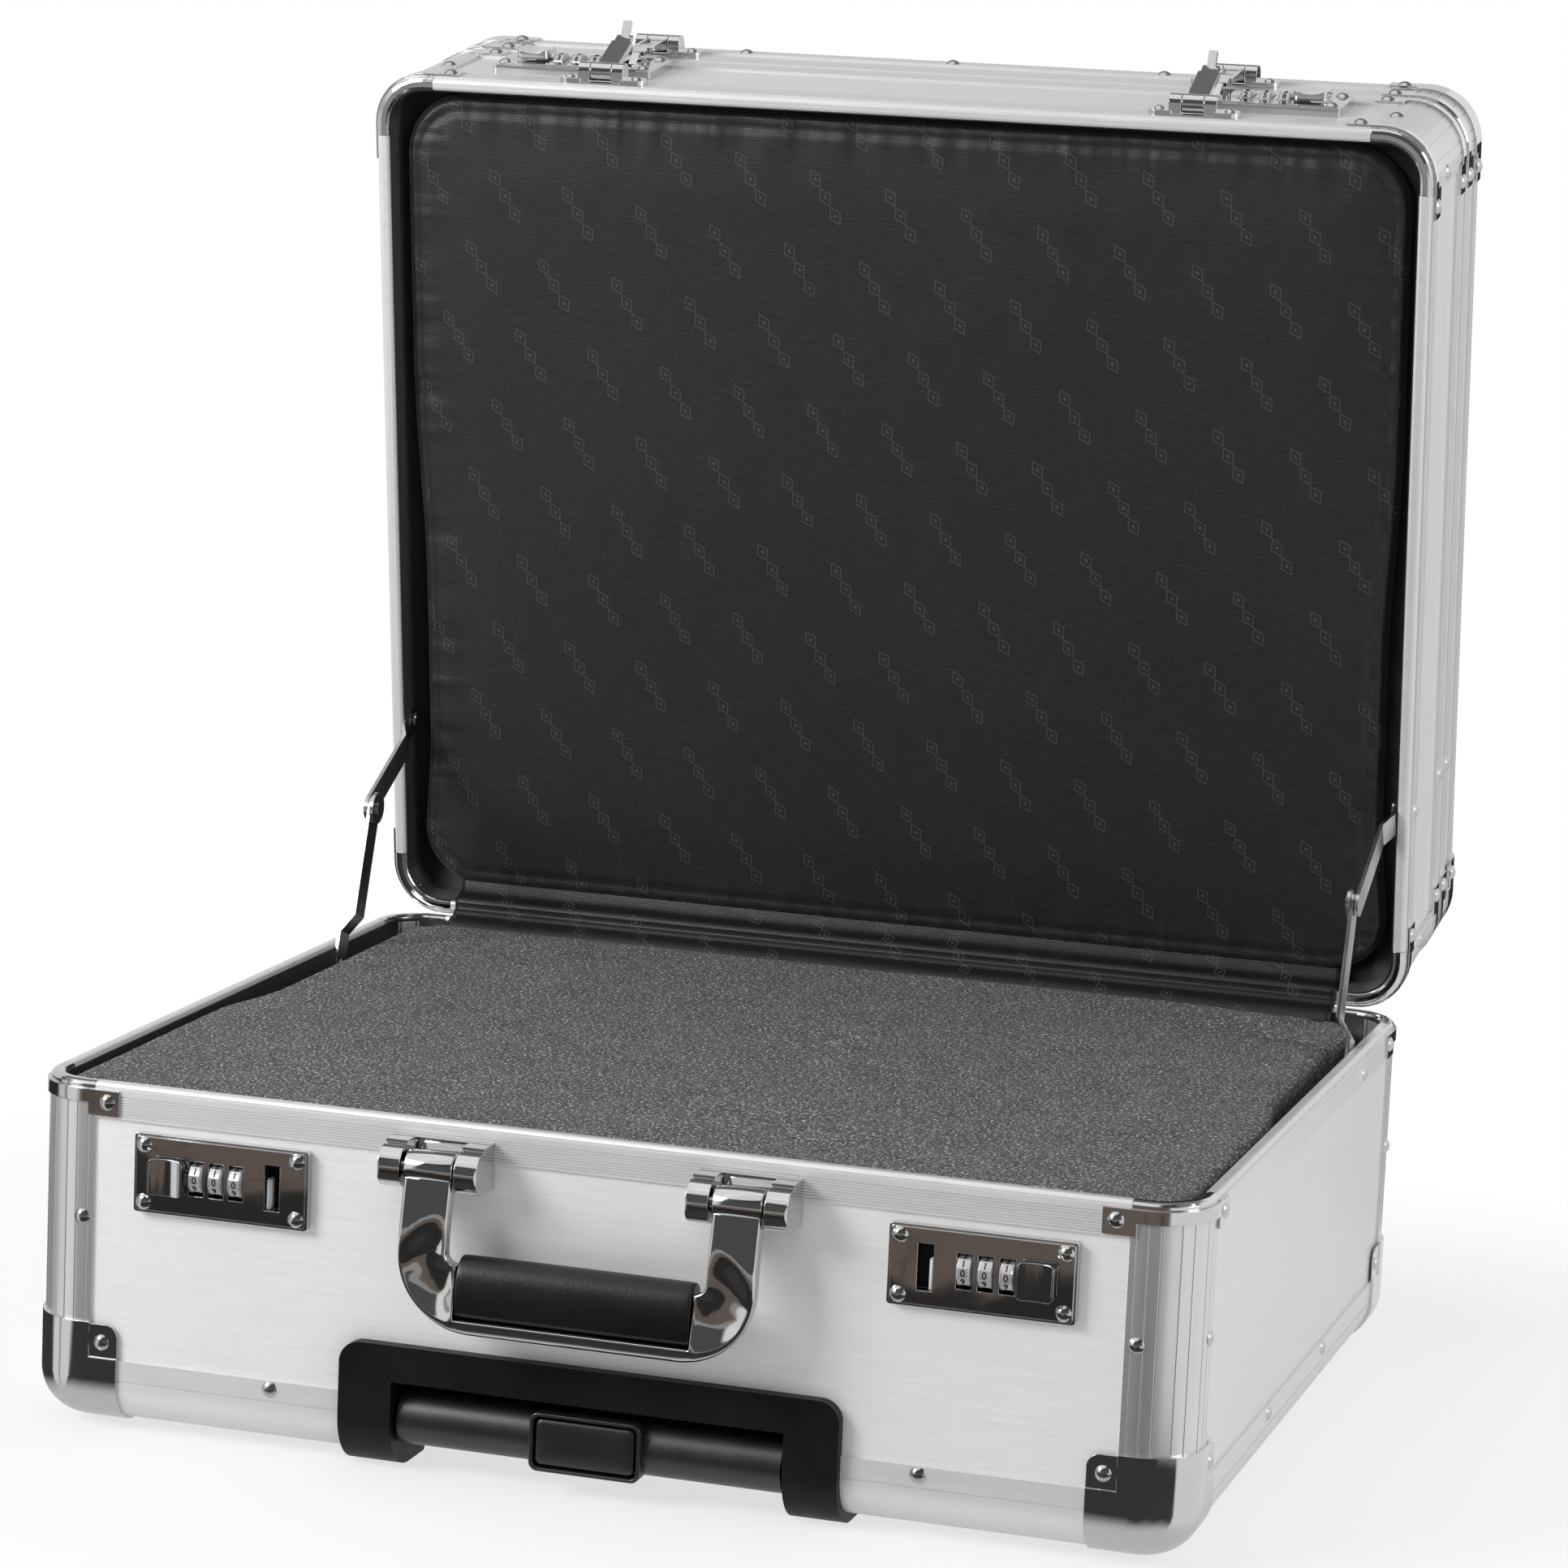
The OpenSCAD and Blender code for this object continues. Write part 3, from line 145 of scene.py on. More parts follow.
class Mat:
    """a material with a Principled shader and helpers for its textures"""

    def __init__(self, name, color, rough=0.5, metal=0.0, **constants):
        self.m = bpy.data.materials.new(name)
        self.m.use_nodes = True
        self.tree = self.m.node_tree
        self.bsdf = self.tree.nodes["Principled BSDF"]
        self.set("Base Color", (*color, 1))
        self.set("Roughness", rough)
        self.set("Metallic", metal)
        for k, v in constants.items():
            self.set(k.replace("_", " "), v)

    def set(self, name, value):
        socket = self.bsdf.inputs[name]
        if isinstance(value, Val):
            self.tree.links.new(value.socket, socket)
        else:
            socket.default_value = value

    def node(self, kind, **props):
        n = self.tree.nodes.new(kind)
        for k, v in props.items():
            setattr(n, k, v)
        return n

    def coords(self, scale=(1, 1, 1), turn_x=0.0, source="Object"):
        source = self.node("ShaderNodeTexCoord").outputs[source]
        if turn_x:
            turn = self.node("ShaderNodeMapping")
            turn.inputs["Rotation"].default_value = (turn_x, 0, 0)
            self.tree.links.new(source, turn.inputs[0])
            source = turn.outputs[0]
        mp = self.node("ShaderNodeMapping")
        mp.inputs["Scale"].default_value = scale
        self.tree.links.new(source, mp.inputs[0])
        return mp.outputs[0]

    def noise(self, vec, scale, detail=2.0, rough=0.5):
        n = self.node("ShaderNodeTexNoise")
        n.inputs["Scale"].default_value = scale
        n.inputs["Detail"].default_value = detail
        n.inputs["Roughness"].default_value = rough
        self.tree.links.new(vec, n.inputs["Vector"])
        return Val(self.tree, n.outputs[0])

    def voronoi(self, vec, scale):
        n = self.node("ShaderNodeTexVoronoi")
        n.inputs["Scale"].default_value = scale
        self.tree.links.new(vec, n.inputs["Vector"])
        return Val(self.tree, n.outputs[0])

    def split(self, vec):
        n = self.node("ShaderNodeSeparateXYZ")
        self.tree.links.new(vec, n.inputs[0])
        return [Val(self.tree, o) for o in n.outputs]

    def color(self, fac, a, b):
        n = self.node("ShaderNodeMix", data_type="RGBA")
        self.tree.links.new(fac.socket, n.inputs[0])
        n.inputs[6].default_value = (*a, 1)
        n.inputs[7].default_value = (*b, 1)
        return Val(self.tree, n.outputs[2])

    def blend_in(self, fac, under, over):
        n = self.node("ShaderNodeMix", data_type="RGBA")
        self.tree.links.new(fac.socket, n.inputs[0])
        self.tree.links.new(under.socket, n.inputs[6])
        n.inputs[7].default_value = (*over, 1)
        return Val(self.tree, n.outputs[2])

    def bump(self, height, strength, distance, edge=0.0):
        n = self.node("ShaderNodeBump")
        n.inputs["Strength"].default_value = strength
        n.inputs["Distance"].default_value = distance
        self.tree.links.new(height.socket, n.inputs["Height"])
        if edge:
            b = self.node("ShaderNodeBevel")
            b.samples = 4
            b.inputs["Radius"].default_value = edge
            self.tree.links.new(b.outputs[0], n.inputs["Normal"])
        self.tree.links.new(n.outputs[0], self.bsdf.inputs["Normal"])


def brushed(name, tone, rough, metal, turn_x=0.0, lines=900.0, depth=0.05, spread=0.06):
    """aluminium brushed along the rims; the big flat faces are brushed across"""
    m = Mat(name, (tone,) * 3, rough, metal)
    sides = m.noise(m.coords((40, 40, lines), turn_x), 1.0, 3.0, 0.6)
    flats = m.noise(m.coords((40, lines, 40), turn_x), 1.0, 3.0, 0.6)
    _, _, facing = m.split(m.coords((1, 1, 1), turn_x, source="Normal"))
    flat = facing.abs().above(0.75)
    streak = sides * (flat * -1.0 + 1.0) + flats * flat
    cloud = m.noise(m.coords((7, 7, 7)), 1.0, 2.0)
    mix = streak * 0.75 + cloud * 0.25
    low, high = tone * (1 - spread), min(tone * (1 + spread * 0.7), 0.97)
    m.set("Base Color", m.color(mix.ramp(0.3, 0.7), (low, low, low * 1.01), (high, high, high * 1.012)))
    m.set("Roughness", mix.ramp(0.25, 0.75, rough - 0.06, rough + 0.08))
    m.bump(streak, depth, 0.0002)
    return m.m


def upright(name, tone, rough):
    """bare extrusion with die lines that run up the post"""
    m = Mat(name, (tone,) * 3, rough, 0.78)
    fine = m.noise(m.coords((500, 500, 2)), 1.0, 2.0, 0.6)
    broad = m.noise(m.coords((120, 120, 1.5)), 1.0, 2.0)
    mix = fine * 0.4 + broad * 0.6
    m.set("Base Color", m.color(mix.ramp(0.3, 0.7), (tone * 0.95,) * 3, (tone * 1.04,) * 3))
    m.set("Roughness", mix.ramp(0.3, 0.7, rough - 0.04, rough + 0.05))
    m.bump(broad, 0.05, 0.0003)
    return m.m


def polished(name, tone, rough, tint=1.0, grain=60.0, wave=0.05, edge=0.0, metal=1.0):
    m = Mat(name, (tone, tone, tone * tint), rough, metal)
    smudge = m.noise(m.coords(), grain, 4.0, 0.6)
    m.set("Roughness", smudge.ramp(0.35, 0.7, rough * 0.7, rough * 1.9))
    m.set("Base Color", m.color(smudge.ramp(0.3, 0.75), (tone * 0.96,) * 3, (tone, tone, tone * tint)))
    m.bump(m.noise(m.coords(), 24.0, 1.0), wave, 0.004, edge)
    return m.m


def plastic(name, tone, rough, grain, depth, shine=0.5):
    m = Mat(name, (tone,) * 3, rough, Specular_IOR_Level=shine)
    fine = m.noise(m.coords(), grain, 2.0)
    broad = m.noise(m.coords(), 30.0, 3.0)
    m.set("Base Color", m.color(broad.ramp(0.3, 0.7), (tone * 0.8,) * 3, (tone * 1.25,) * 3))
    m.set("Roughness", (fine * 0.4 + broad * 0.6).ramp(0.3, 0.7, rough - 0.06, rough + 0.08))
    m.bump(fine, depth, 0.0003)
    return m.m


def foam_material():
    m = Mat("foam_speckle", (0.06, 0.06, 0.062), 0.95)
    c = m.coords()
    cell = m.voronoi(c, 900.0)
    spark = m.noise(c, 620.0, 3.0, 0.75)
    patch = m.noise(c, 45.0, 3.0)
    speckle = (cell * 0.6 + spark * 0.7 + patch * 0.25).ramp(0.45, 1.0)
    base = m.color(speckle, (0.012, 0.012, 0.0125), (0.19, 0.19, 0.195))
    lit = m.noise(c, 820.0, 1.0, 0.4).ramp(0.6, 0.68)
    glint = m.color(lit, (0, 0, 0), (0.55, 0.55, 0.55))
    both = m.node("ShaderNodeMix", data_type="RGBA", blend_type="ADD")
    both.inputs[0].default_value = 1.0
    m.tree.links.new(base.socket, both.inputs[6])
    m.tree.links.new(glint.socket, both.inputs[7])
    m.set("Base Color", Val(m.tree, both.outputs[2]))
    m.bump(cell + spark * 0.8, 0.6, 0.0012)
    return m.m


# the lining's weave and its generic print, in millimetres and degrees
WEFT_MM, WARP_MM = 0.9, 0.55
PRINT_LEAN, PRINT_ACROSS, PRINT_ALONG = 30, 26.0, 44.0


def satin(name, pattern=True, low=0.0115, high=0.0205, sheen=0.16):
    """black lining satin; its faint print is short chains of three lozenges"""
    m = Mat(name, (0.016, 0.016, 0.017), 0.42,
            Specular_IOR_Level=0.5, Sheen_Weight=sheen, Sheen_Roughness=0.4)
    u, v, _ = m.split(m.coords((1000, 1000, 1), source="UV"))
    weft = (v * (2 * math.pi / WEFT_MM)).sin()
    warp = (u * (2 * math.pi / WARP_MM)).sin()
    slub = m.noise(m.coords((120, 2600, 1), source="UV"), 1.0, 2.0)
    tone = (slub * 0.7 + m.noise(m.coords((9, 9, 1), source="UV"), 1.0, 2.0) * 0.3).ramp(0.3, 0.7)
    base = m.color(tone, (low, low, low * 1.03), (high, high, high * 1.03))
    rough = slub.ramp(0.3, 0.7, 0.36, 0.5)
    if pattern:
        lean = math.radians(PRINT_LEAN)
        p = u * math.cos(lean) + v * math.sin(lean)
        q = v * math.cos(lean) - u * math.sin(lean)
        col = p / PRINT_ACROSS
        row = q / PRINT_ALONG + col.floor() * 0.5
        dx = (col.fract() - 0.5).abs() * PRINT_ACROSS
        dy = (row.fract() - 0.5) * PRINT_ALONG
        link = dx / 2.9 + ((dy / 9.0 + 0.5).fract() - 0.5).abs() * 2.0
        ink = (link.above(0.8) * link.below(1.0)).max(link.below(0.28)) * (dy.abs() - 13.5).below(0.0)
        mixed = m.node("ShaderNodeMix", data_type="RGBA")
        m.tree.links.new((ink * 0.9).socket, mixed.inputs[0])
        m.tree.links.new(base.socket, mixed.inputs[6])
        mixed.inputs[7].default_value = (0.052, 0.052, 0.054, 1)
        m.set("Base Color", Val(m.tree, mixed.outputs[2]))
        m.set("Roughness", rough + ink * 0.1)
    else:
        m.set("Base Color", base)
        m.set("Roughness", rough)
    m.bump(weft * 0.5 + warp * 0.3 + slub * 1.2, 0.25, 0.0002)
    return m.m


def stay_steel():
    m = Mat("stay_steel", (0.6, 0.6, 0.61), 0.24, 1.0)
    s = m.noise(m.coords((700, 40, 40)), 1.0, 3.0)
    m.set("Roughness", s.ramp(0.3, 0.7, 0.16, 0.32))
    m.set("Base Color", m.color(s.ramp(0.3, 0.7), (0.5, 0.5, 0.51), (0.66, 0.66, 0.67)))
    m.bump(s, 0.08, 0.0002)
    return m.m


panel_base = brushed("panel_base", 0.84, 0.42, 0.16, 0.0, 1300.0, 0.05, 0.05)
panel_lid = brushed("panel_lid", 0.84, 0.42, 0.16, LID_OPEN, 1300.0, 0.05, 0.05)
rail_base = brushed("rail_base", 0.82, 0.36, 0.38, 0.0, 500.0, 0.03, 0.03)
rail_lid = brushed("rail_lid", 0.80, 0.36, 0.38, LID_OPEN, 500.0, 0.03, 0.03)
post_metal = upright("post_metal", 0.78, 0.3)
chrome = polished("chrome", 0.72, 0.06, 1.01, 60.0, 0.1, 0.0005)
chrome_dark = polished("chrome_lock", 0.66, 0.06, 0.99, 60.0, 0.35, 0.0006)
chrome_cast = polished("chrome_cast", 0.7, 0.05, 0.99, 60.0, 0.25)
rivet_metal = polished("rivet_metal", 0.62, 0.14)
dial_metal = polished("dial_metal", 0.6, 0.26, 1.0, 200.0, 0.02, 0.0, 0.6)
hinge_metal = polished("hinge_metal", 0.66, 0.24, 1.0, 120.0)
tube_metal = polished("tube_metal", 0.68, 0.2, 1.0, 90.0)
black_plastic = plastic("black_plastic", 0.006, 0.46, 1500.0, 0.12, 0.3)
bar_plastic = plastic("bar_plastic", 0.011, 0.34, 1200.0, 0.08, 1.0)
button_plastic = plastic("button_plastic", 0.014, 0.34, 900.0, 0.06)
grip_skin = plastic("grip_skin", 0.007, 0.36, 900.0, 0.2, 0.45)
wheel_rubber = plastic("wheel_rubber", 0.03, 0.62, 900.0, 0.2)
ink = plastic("dial_ink", 0.002, 0.6, 800.0, 0.05, 0.1)
nylon = plastic("nylon_white", 0.72, 0.4, 600.0, 0.05)
foam_look = foam_material()
lining_print = satin("lining_print")
lining_plain = satin("lining_plain", False, 0.006, 0.011)
strip_print = satin("strip_print", True, 0.003, 0.0055, 0.03)
steel = stay_steel()

LOOKS = {
    "base_panels": panel_base, "base_rails": rail_base, "base_posts": post_metal,
    "lid_panels": panel_lid, "cover_panels": panel_lid, "lid_frame": rail_lid, "cover_frame": rail_lid,
    "base_foam": foam_look, "lid_lining": lining_print,
    "handle_grip": grip_skin, "trolley_bezel": black_plastic, "trolley_grip": bar_plastic,
    "trolley_button": button_plastic, "wheel_housings": black_plastic,
    "left_wheel": wheel_rubber, "right_wheel": wheel_rubber,
}


def look_of(name):
    if name in LOOKS:
        return LOOKS[name]
    for word, look in (("rivets", rivet_metal), ("corners", chrome), ("locks", chrome_dark),
                       ("slide", chrome), ("dial", dial_metal), ("stay", steel),
                       ("tubes", tube_metal), ("hinge", hinge_metal)):
        if word in name:
            return look
    return chrome


for node_name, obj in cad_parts.items():
    if not obj.data.materials:
        obj.data.materials.append(None)
    for slot_index in range(len(obj.material_slots)):
        obj.material_slots[slot_index].material = look_of(node_name)


# ---------------------------------------------------------------- mesh helpers
def piece(name, verts, faces, look, body=None, uvs=None, smooth=True, looks=None, face_looks=None):
    me = bpy.data.meshes.new(name)
    me.from_pydata([tuple(v) for v in verts], [], faces)
    me.update()
    for lk in (looks or [look]):
        me.materials.append(lk)
    if face_looks:
        for f, k in zip(me.polygons, face_looks):
            f.material_index = k
    if smooth:
        for f in me.polygons:
            f.use_smooth = True
    if uvs:
        layer = me.uv_layers.new(name="UVMap")
        for loop in me.loops:
            layer.data[loop.index].uv = uvs[loop.vertex_index]
    ob = bpy.data.objects.new(name, me)
    bpy.context.scene.collection.objects.link(ob)
    if body:
        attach(ob, body)
    return ob


def fix_normals(ob):
    bm = bmesh.new()
    bm.from_mesh(ob.data)
    bmesh.ops.recalc_face_normals(bm, faces=bm.faces[:])
    bm.to_mesh(ob.data)
    bm.free()


def sharpen(ob, angle):
    """marks the edges that turn more than the angle as sharp"""
    bm = bmesh.new()
    bm.from_mesh(ob.data)
    for e in bm.edges:
        if len(e.link_faces) != 2 or e.calc_face_angle(0) > math.radians(angle):
            e.smooth = False
    bm.to_mesh(ob.data)
    bm.free()


def subdivide(ob, level):
    md = ob.modifiers.new("smooth", "SUBSURF")
    md.levels = md.render_levels = level
    dg = bpy.context.evaluated_depsgraph_get()
    me = bpy.data.meshes.new_from_object(ob.evaluated_get(dg))
    ob.modifiers.clear()
    ob.data = me


def box_mesh(bm, lo, hi):
    vs = [bm.verts.new((x, y, z)) for x in (lo[0], hi[0]) for y in (lo[1], hi[1]) for z in (lo[2], hi[2])]
    for f in ((0, 1, 3, 2), (4, 6, 7, 5), (0, 4, 5, 1), (2, 3, 7, 6), (0, 2, 6, 4), (1, 5, 7, 3)):
        bm.faces.new([vs[i] for i in f])


def smoothstep(a, b, x):
    t = min(max((x - a) / (b - a), 0.0), 1.0)
    return t * t * (3 - 2 * t)


def rounded_path(hx, hy, r, steps=10):
    """points round a rectangle with rounded corners, anticlockwise"""
    pts = []
    for k, (sx, sy) in enumerate(((1, -1), (1, 1), (-1, 1), (-1, -1))):
        for i in range(steps + 1):
            a = math.radians(-90 + 90 * k + 90 * i / steps)
            pts.append((sx * (hx - r) + r * math.cos(a), sy * (hy - r) + r * math.sin(a)))
    return pts


def ring_faces(rings, n, closed=False):
    """quads between rings of n points each; closed also joins the last ring to the first"""
    faces = []
    for k in range(rings if closed else rings - 1):
        k2 = (k + 1) % rings
        for i in range(n):
            j = (i + 1) % n
            faces.append((k * n + i, k * n + j, k2 * n + j, k2 * n + i))
    return faces


def grid_rim(nx, ny):
    """the outer points of a grid of nx by ny cells, once round"""
    rim = [i for i in range(nx + 1)] + [(j + 1) * (nx + 1) + nx for j in range(ny)]
    rim += [ny * (nx + 1) + nx - 1 - i for i in range(nx)]
    return rim + [(ny - 1 - j) * (nx + 1) for j in range(ny - 1)]


def wall(name, at, rows, body, dials=None):
    """a thin lining round the inside of a shell, drawn as a closed skin; rows are (height, inset) pairs.
    dials is (low, high, side): the band that is pushed in on the side where the dials turn"""
    verts, uvs = [], []
    for z, d in rows:
        ring = rounded_path(HW - d, HD - d, max(CORNER_R - d, 0.5))
        length = 0.0
        for i, (x, y) in enumerate(ring):
            if i:
                length += math.hypot(x - ring[i - 1][0], y - ring[i - 1][1])
            if dials and dials[0] <= z <= dials[1] and abs(y - dials[2] * (HD - d)) < 1e-6:
                y -= dials[2] * 0.5
            verts.append(at(x, y, z))
            uvs.append((length * MM, z * MM))
    faces = ring_faces(len(rows), len(verts) // len(rows), closed=True)
    piece(name, verts, faces, lining_plain, body, uvs)


# ---------------------------------------------------------------- foam block
def foam_half_width(y):
    wide = 223.2 - 7.6 * smoothstep(-40, 15, y)
    front = 216.2 + 7 * smoothstep(-182, -174, y)
    rear = 224 - 15.6 * smoothstep(165.5, 168.5, y)
    return min(wide, front, rear)


def make_foam():
    nx, ny = 148, 120
    top, low = 134.2, 40.3
    y0, y1 = -183.3, 177.8
    verts, faces, uvs = [], [], []

    def height(x, y, e):
        dip = 1.8 * smoothstep(120, 215, x) * smoothstep(90, 175, y)
        crease = 1.2 * math.exp(-((x - 150 - (y - 120) * 0.9) / 3.0) ** 2)
        crease = crease * smoothstep(95, 130, y) * smoothstep(140, 150, x)
        wave = 0.5 * noise.noise(Vector((x * 0.012, y * 0.012, 3.1)))
        grain = 0.22 * noise.noise(Vector((x * 0.9, y * 0.9, 0.7)))
        edge = 2.2 * (1 - smoothstep(0, 5.0, e)) ** 2
        return top + wave + grain - dip - crease - edge

    for j in range(ny + 1):
        y = y0 + (y1 - y0) * j / ny
        h = foam_half_width(y)
        for i in range(nx + 1):
            s = 2 * i / nx - 1
            x = s * h
            e = min(h - abs(x), y - y0, y1 - y)
            verts.append(base_at(x, y, height(x, y, e)))
    for j in range(ny):
        for i in range(nx):
            a = j * (nx + 1) + i
            faces.append((a, a + 1, a + nx + 2, a + nx + 1))
    rim = grid_rim(nx, ny)
    prev = rim
    for z in (131.0, 126.0, 110.0, 85.0, 60.0, low):
        ring = []
        for k in rim:
            p = verts[k]
            bulge = 0.35 * noise.noise(Vector((p.x * 40, p.y * 40, z * 0.05)))
            ring.append(len(verts))
            verts.append(Vector((p.x * (1 - bulge * 0.001), p.y * (1 - bulge * 0.001), z * MM)))
        for k in range(len(rim)):
            m = (k + 1) % len(rim)
            faces.append((prev[k], ring[k], ring[m], prev[m]))
        prev = ring
    faces.append(tuple(reversed(prev)))
    ob = piece("foam_block", verts, faces, foam_look, "base")
    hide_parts("base_foam")


make_foam()


# ---------------------------------------------------------------- padded lid lining
def make_lining():
    hx, v0, v1 = 222.6, 12.0, 373.0
    hy, vc = (v1 - v0) / 2, (v0 + v1) / 2
    r = 27.0

    def narrow(y):
        """the stays fold beside the lining, which draws in there"""
        v = y + vc
        return 3.9 * smoothstep(20, 80, v) * (1 - smoothstep(150, 250, v)) + 0.6
    nx, ny = 210, 180
    verts, faces, uvs = [], [], []

    def edge_distance(x, y):
        qx, qy = abs(x) - (hx - r), abs(y) - (hy - r)
        out = math.hypot(max(qx, 0), max(qy, 0)) + min(max(qx, qy), 0)
        return r - out

    def around(x, y):
        if abs(x) / hx > abs(y) / hy:
            return y * (1 if x > 0 else -1) + 1000
        return x * (1 if y < 0 else -1)

    def face_w(x, y):
        """depth of the face behind the near rim"""
        e = max(edge_distance(x, y), 0.0)
        s = around(x, y)
        roll = 4.5 * (1 - min(e / 4.5, 1.0)) ** 2
        seam = 1.5 * math.exp(-((e - 6.5) / 1.5) ** 2)
        pucker = noise.noise(Vector((s * 0.11, 2.0, 0.3))) * 1.1
        pucker += noise.noise(Vector((s * 0.31, 7.0, 0.9))) * 0.7
        pucker *= math.exp(-((e - 6.0) / 11.0) ** 2) if e > 2 else 0.4
        swell = 1.1 * smoothstep(6, 40, e)
        drift = 0.7 * noise.noise(Vector((x * 0.008, y * 0.011, 5.0)))
        fold = 0.5 * math.exp(-(((x - 120) * 0.5 + (y + 95)) / 26.0) ** 2) * smoothstep(40, 150, x)
        fine = 0.12 * noise.noise(Vector((x * 0.06, y * 0.05, 9.0)))
        return 8.6 + roll + seam + pucker * 0.8 - swell - drift - fold * 1.4 - fine

    for j in range(ny + 1):
        for i in range(nx + 1):
            s, t = 2 * i / nx - 1, 2 * j / ny - 1
            s = math.copysign(abs(s) ** 0.92, s)
            t = math.copysign(abs(t) ** 0.92, t)
            x, y = s * hx, t * hy
            qx, qy = abs(x) - (hx - r), abs(y) - (hy - r)
            if qx > 0 and qy > 0:
                k = r / max(math.hypot(qx, qy), 1e-6)
                m = max(qx, qy)
                scale = m / math.hypot(qx, qy)
                x = math.copysign(hx - r + qx * scale, x)
                y = math.copysign(hy - r + qy * scale, y)
            w = face_w(x, y)
            x -= math.copysign(narrow(y) * smoothstep(120, 216, abs(x)), x)
            verts.append(lid_at(x, vc + y, max(w, 4.2)))
            uvs.append((x * MM, (vc + y) * MM))
    for j in range(ny):
        for i in range(nx):
            a = j * (nx + 1) + i
            faces.append((a, a + nx + 1, a + nx + 2, a + 1))
    rim = grid_rim(nx, ny)
    back = []
    for k in rim:
        x, y = uvs[k][0] / MM, uvs[k][1] / MM
        back.append(len(verts))
        verts.append(lid_at(x * 0.998, vc + (y - vc) * 0.998, 15.9))
        uvs.append((x * MM, y * MM + 0.01))
    for k in range(len(rim)):
        m = (k + 1) % len(rim)
        faces.append((rim[k], rim[m], back[m], back[k]))
    faces.append(tuple(back))
    ob = piece("padded_lining", verts, faces, lining_print, "lid", uvs)
    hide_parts("lid_lining")
    # stitches along the seam
    sv, sf = [], []
    path = rounded_path(hx - 6.5, hy - 6.5, r - 6.5, 14)
    marks = []
    for a, b in zip(path, path[1:] + path[:1]):
        d = math.hypot(b[0] - a[0], b[1] - a[1])
        steps = max(int(d / 4.0), 1)
        for i in range(steps):
            marks.append((a[0] + (b[0] - a[0]) * i / steps, a[1] + (b[1] - a[1]) * i / steps,
                          (b[0] - a[0]) / max(d, 1e-9), (b[1] - a[1]) / max(d, 1e-9)))
    for x, y, dx, dy in marks:
        o = len(sv)
        w = max(face_w(x, y), 4.2) - 0.12
        x -= math.copysign(narrow(y) * smoothstep(120, 216, abs(x)), x)
        for t in (-1.2, 1.2):
            for s, h in ((-0.28, 0.05), (0, -0.22), (0.28, 0.05)):
                sv.append(lid_at(x + dx * t - dy * s, vc + y + dy * t + dx * s, w + h))
        sf += [(o, o + 3, o + 4, o + 1), (o + 1, o + 4, o + 5, o + 2), (o, o + 1, o + 2),
               (o + 3, o + 5, o + 4), (o, o + 2, o + 5, o + 3)]
    st = piece("lining_stitches", sv, sf, lining_plain, "lid", [(v.x, v.z) for v in sv])


make_lining()


# ---------------------------------------------------------------- fabric on the inner walls
def lid_flat(x, y, z):
    return lid_at(x, y + HD, z)


wall("base_wall_lining", base_at,
     [(40.3, 6.2), (95.0, 6.16), (96.0, 6.16), (110.0, 6.14), (111.0, 6.14), (134.0, 6.12),
      (134.0, 6.35), (111.0, 6.38), (110.0, 6.38), (96.0, 6.42), (95.0, 6.42), (40.3, 6.5)],
     "base", dials=(96.0, 110.0, -1))
wall("lid_wall_lining", lid_flat,
     [(1.6, 6.12), (15.8, 6.2), (15.8, 20.5), (15.5, 20.5), (15.5, 6.6), (1.6, 6.4)], "lid")
wall("compartment_wall_lining", lid_flat,
     [(19.4, 6.2), (34.4, 6.18), (35.2, 6.18), (48.8, 6.15), (49.6, 6.15), (71.0, 6.12),
      (71.0, 6.5), (49.6, 6.52), (48.8, 6.52), (35.2, 6.56), (34.4, 6.56), (19.8, 6.6)],
     "lid", dials=(35.2, 48.8, 1))
wall("cover_wall_lining", lid_flat, [(74.0, 6.12), (105.8, 6.2), (105.8, 6.6), (74.0, 6.5)], "cover")


def board(name, w0, w1, inset, body):
    """a fabric-covered board across the shell with softly rounded edges"""
    rows = [(w0, inset + 1.2), (w0 + (w1 - w0) * 0.3, inset + 0.2),
            (w1 - (w1 - w0) * 0.3, inset + 0.2), (w1, inset + 1.2)]
    verts, uvs = [], []
    for w, d in rows:
        for x, y in rounded_path(HW - d, HD - d, max(CORNER_R - d, 3)):
            verts.append(lid_flat(x, y, w))
            uvs.append((x * MM, y * MM))
    n = len(verts) // len(rows)
    faces = ring_faces(len(rows), n)
    faces.append(tuple(reversed(range(n))))
    faces.append(tuple(range((len(rows) - 1) * n, len(rows) * n)))
    ob = piece(name, verts, faces, lining_print, body, uvs)


board("compartment_back_lining", 19.25, 20.2, 7.0, "lid")
board("cover_lining", 105.4, 106.8, 7.0, "cover")


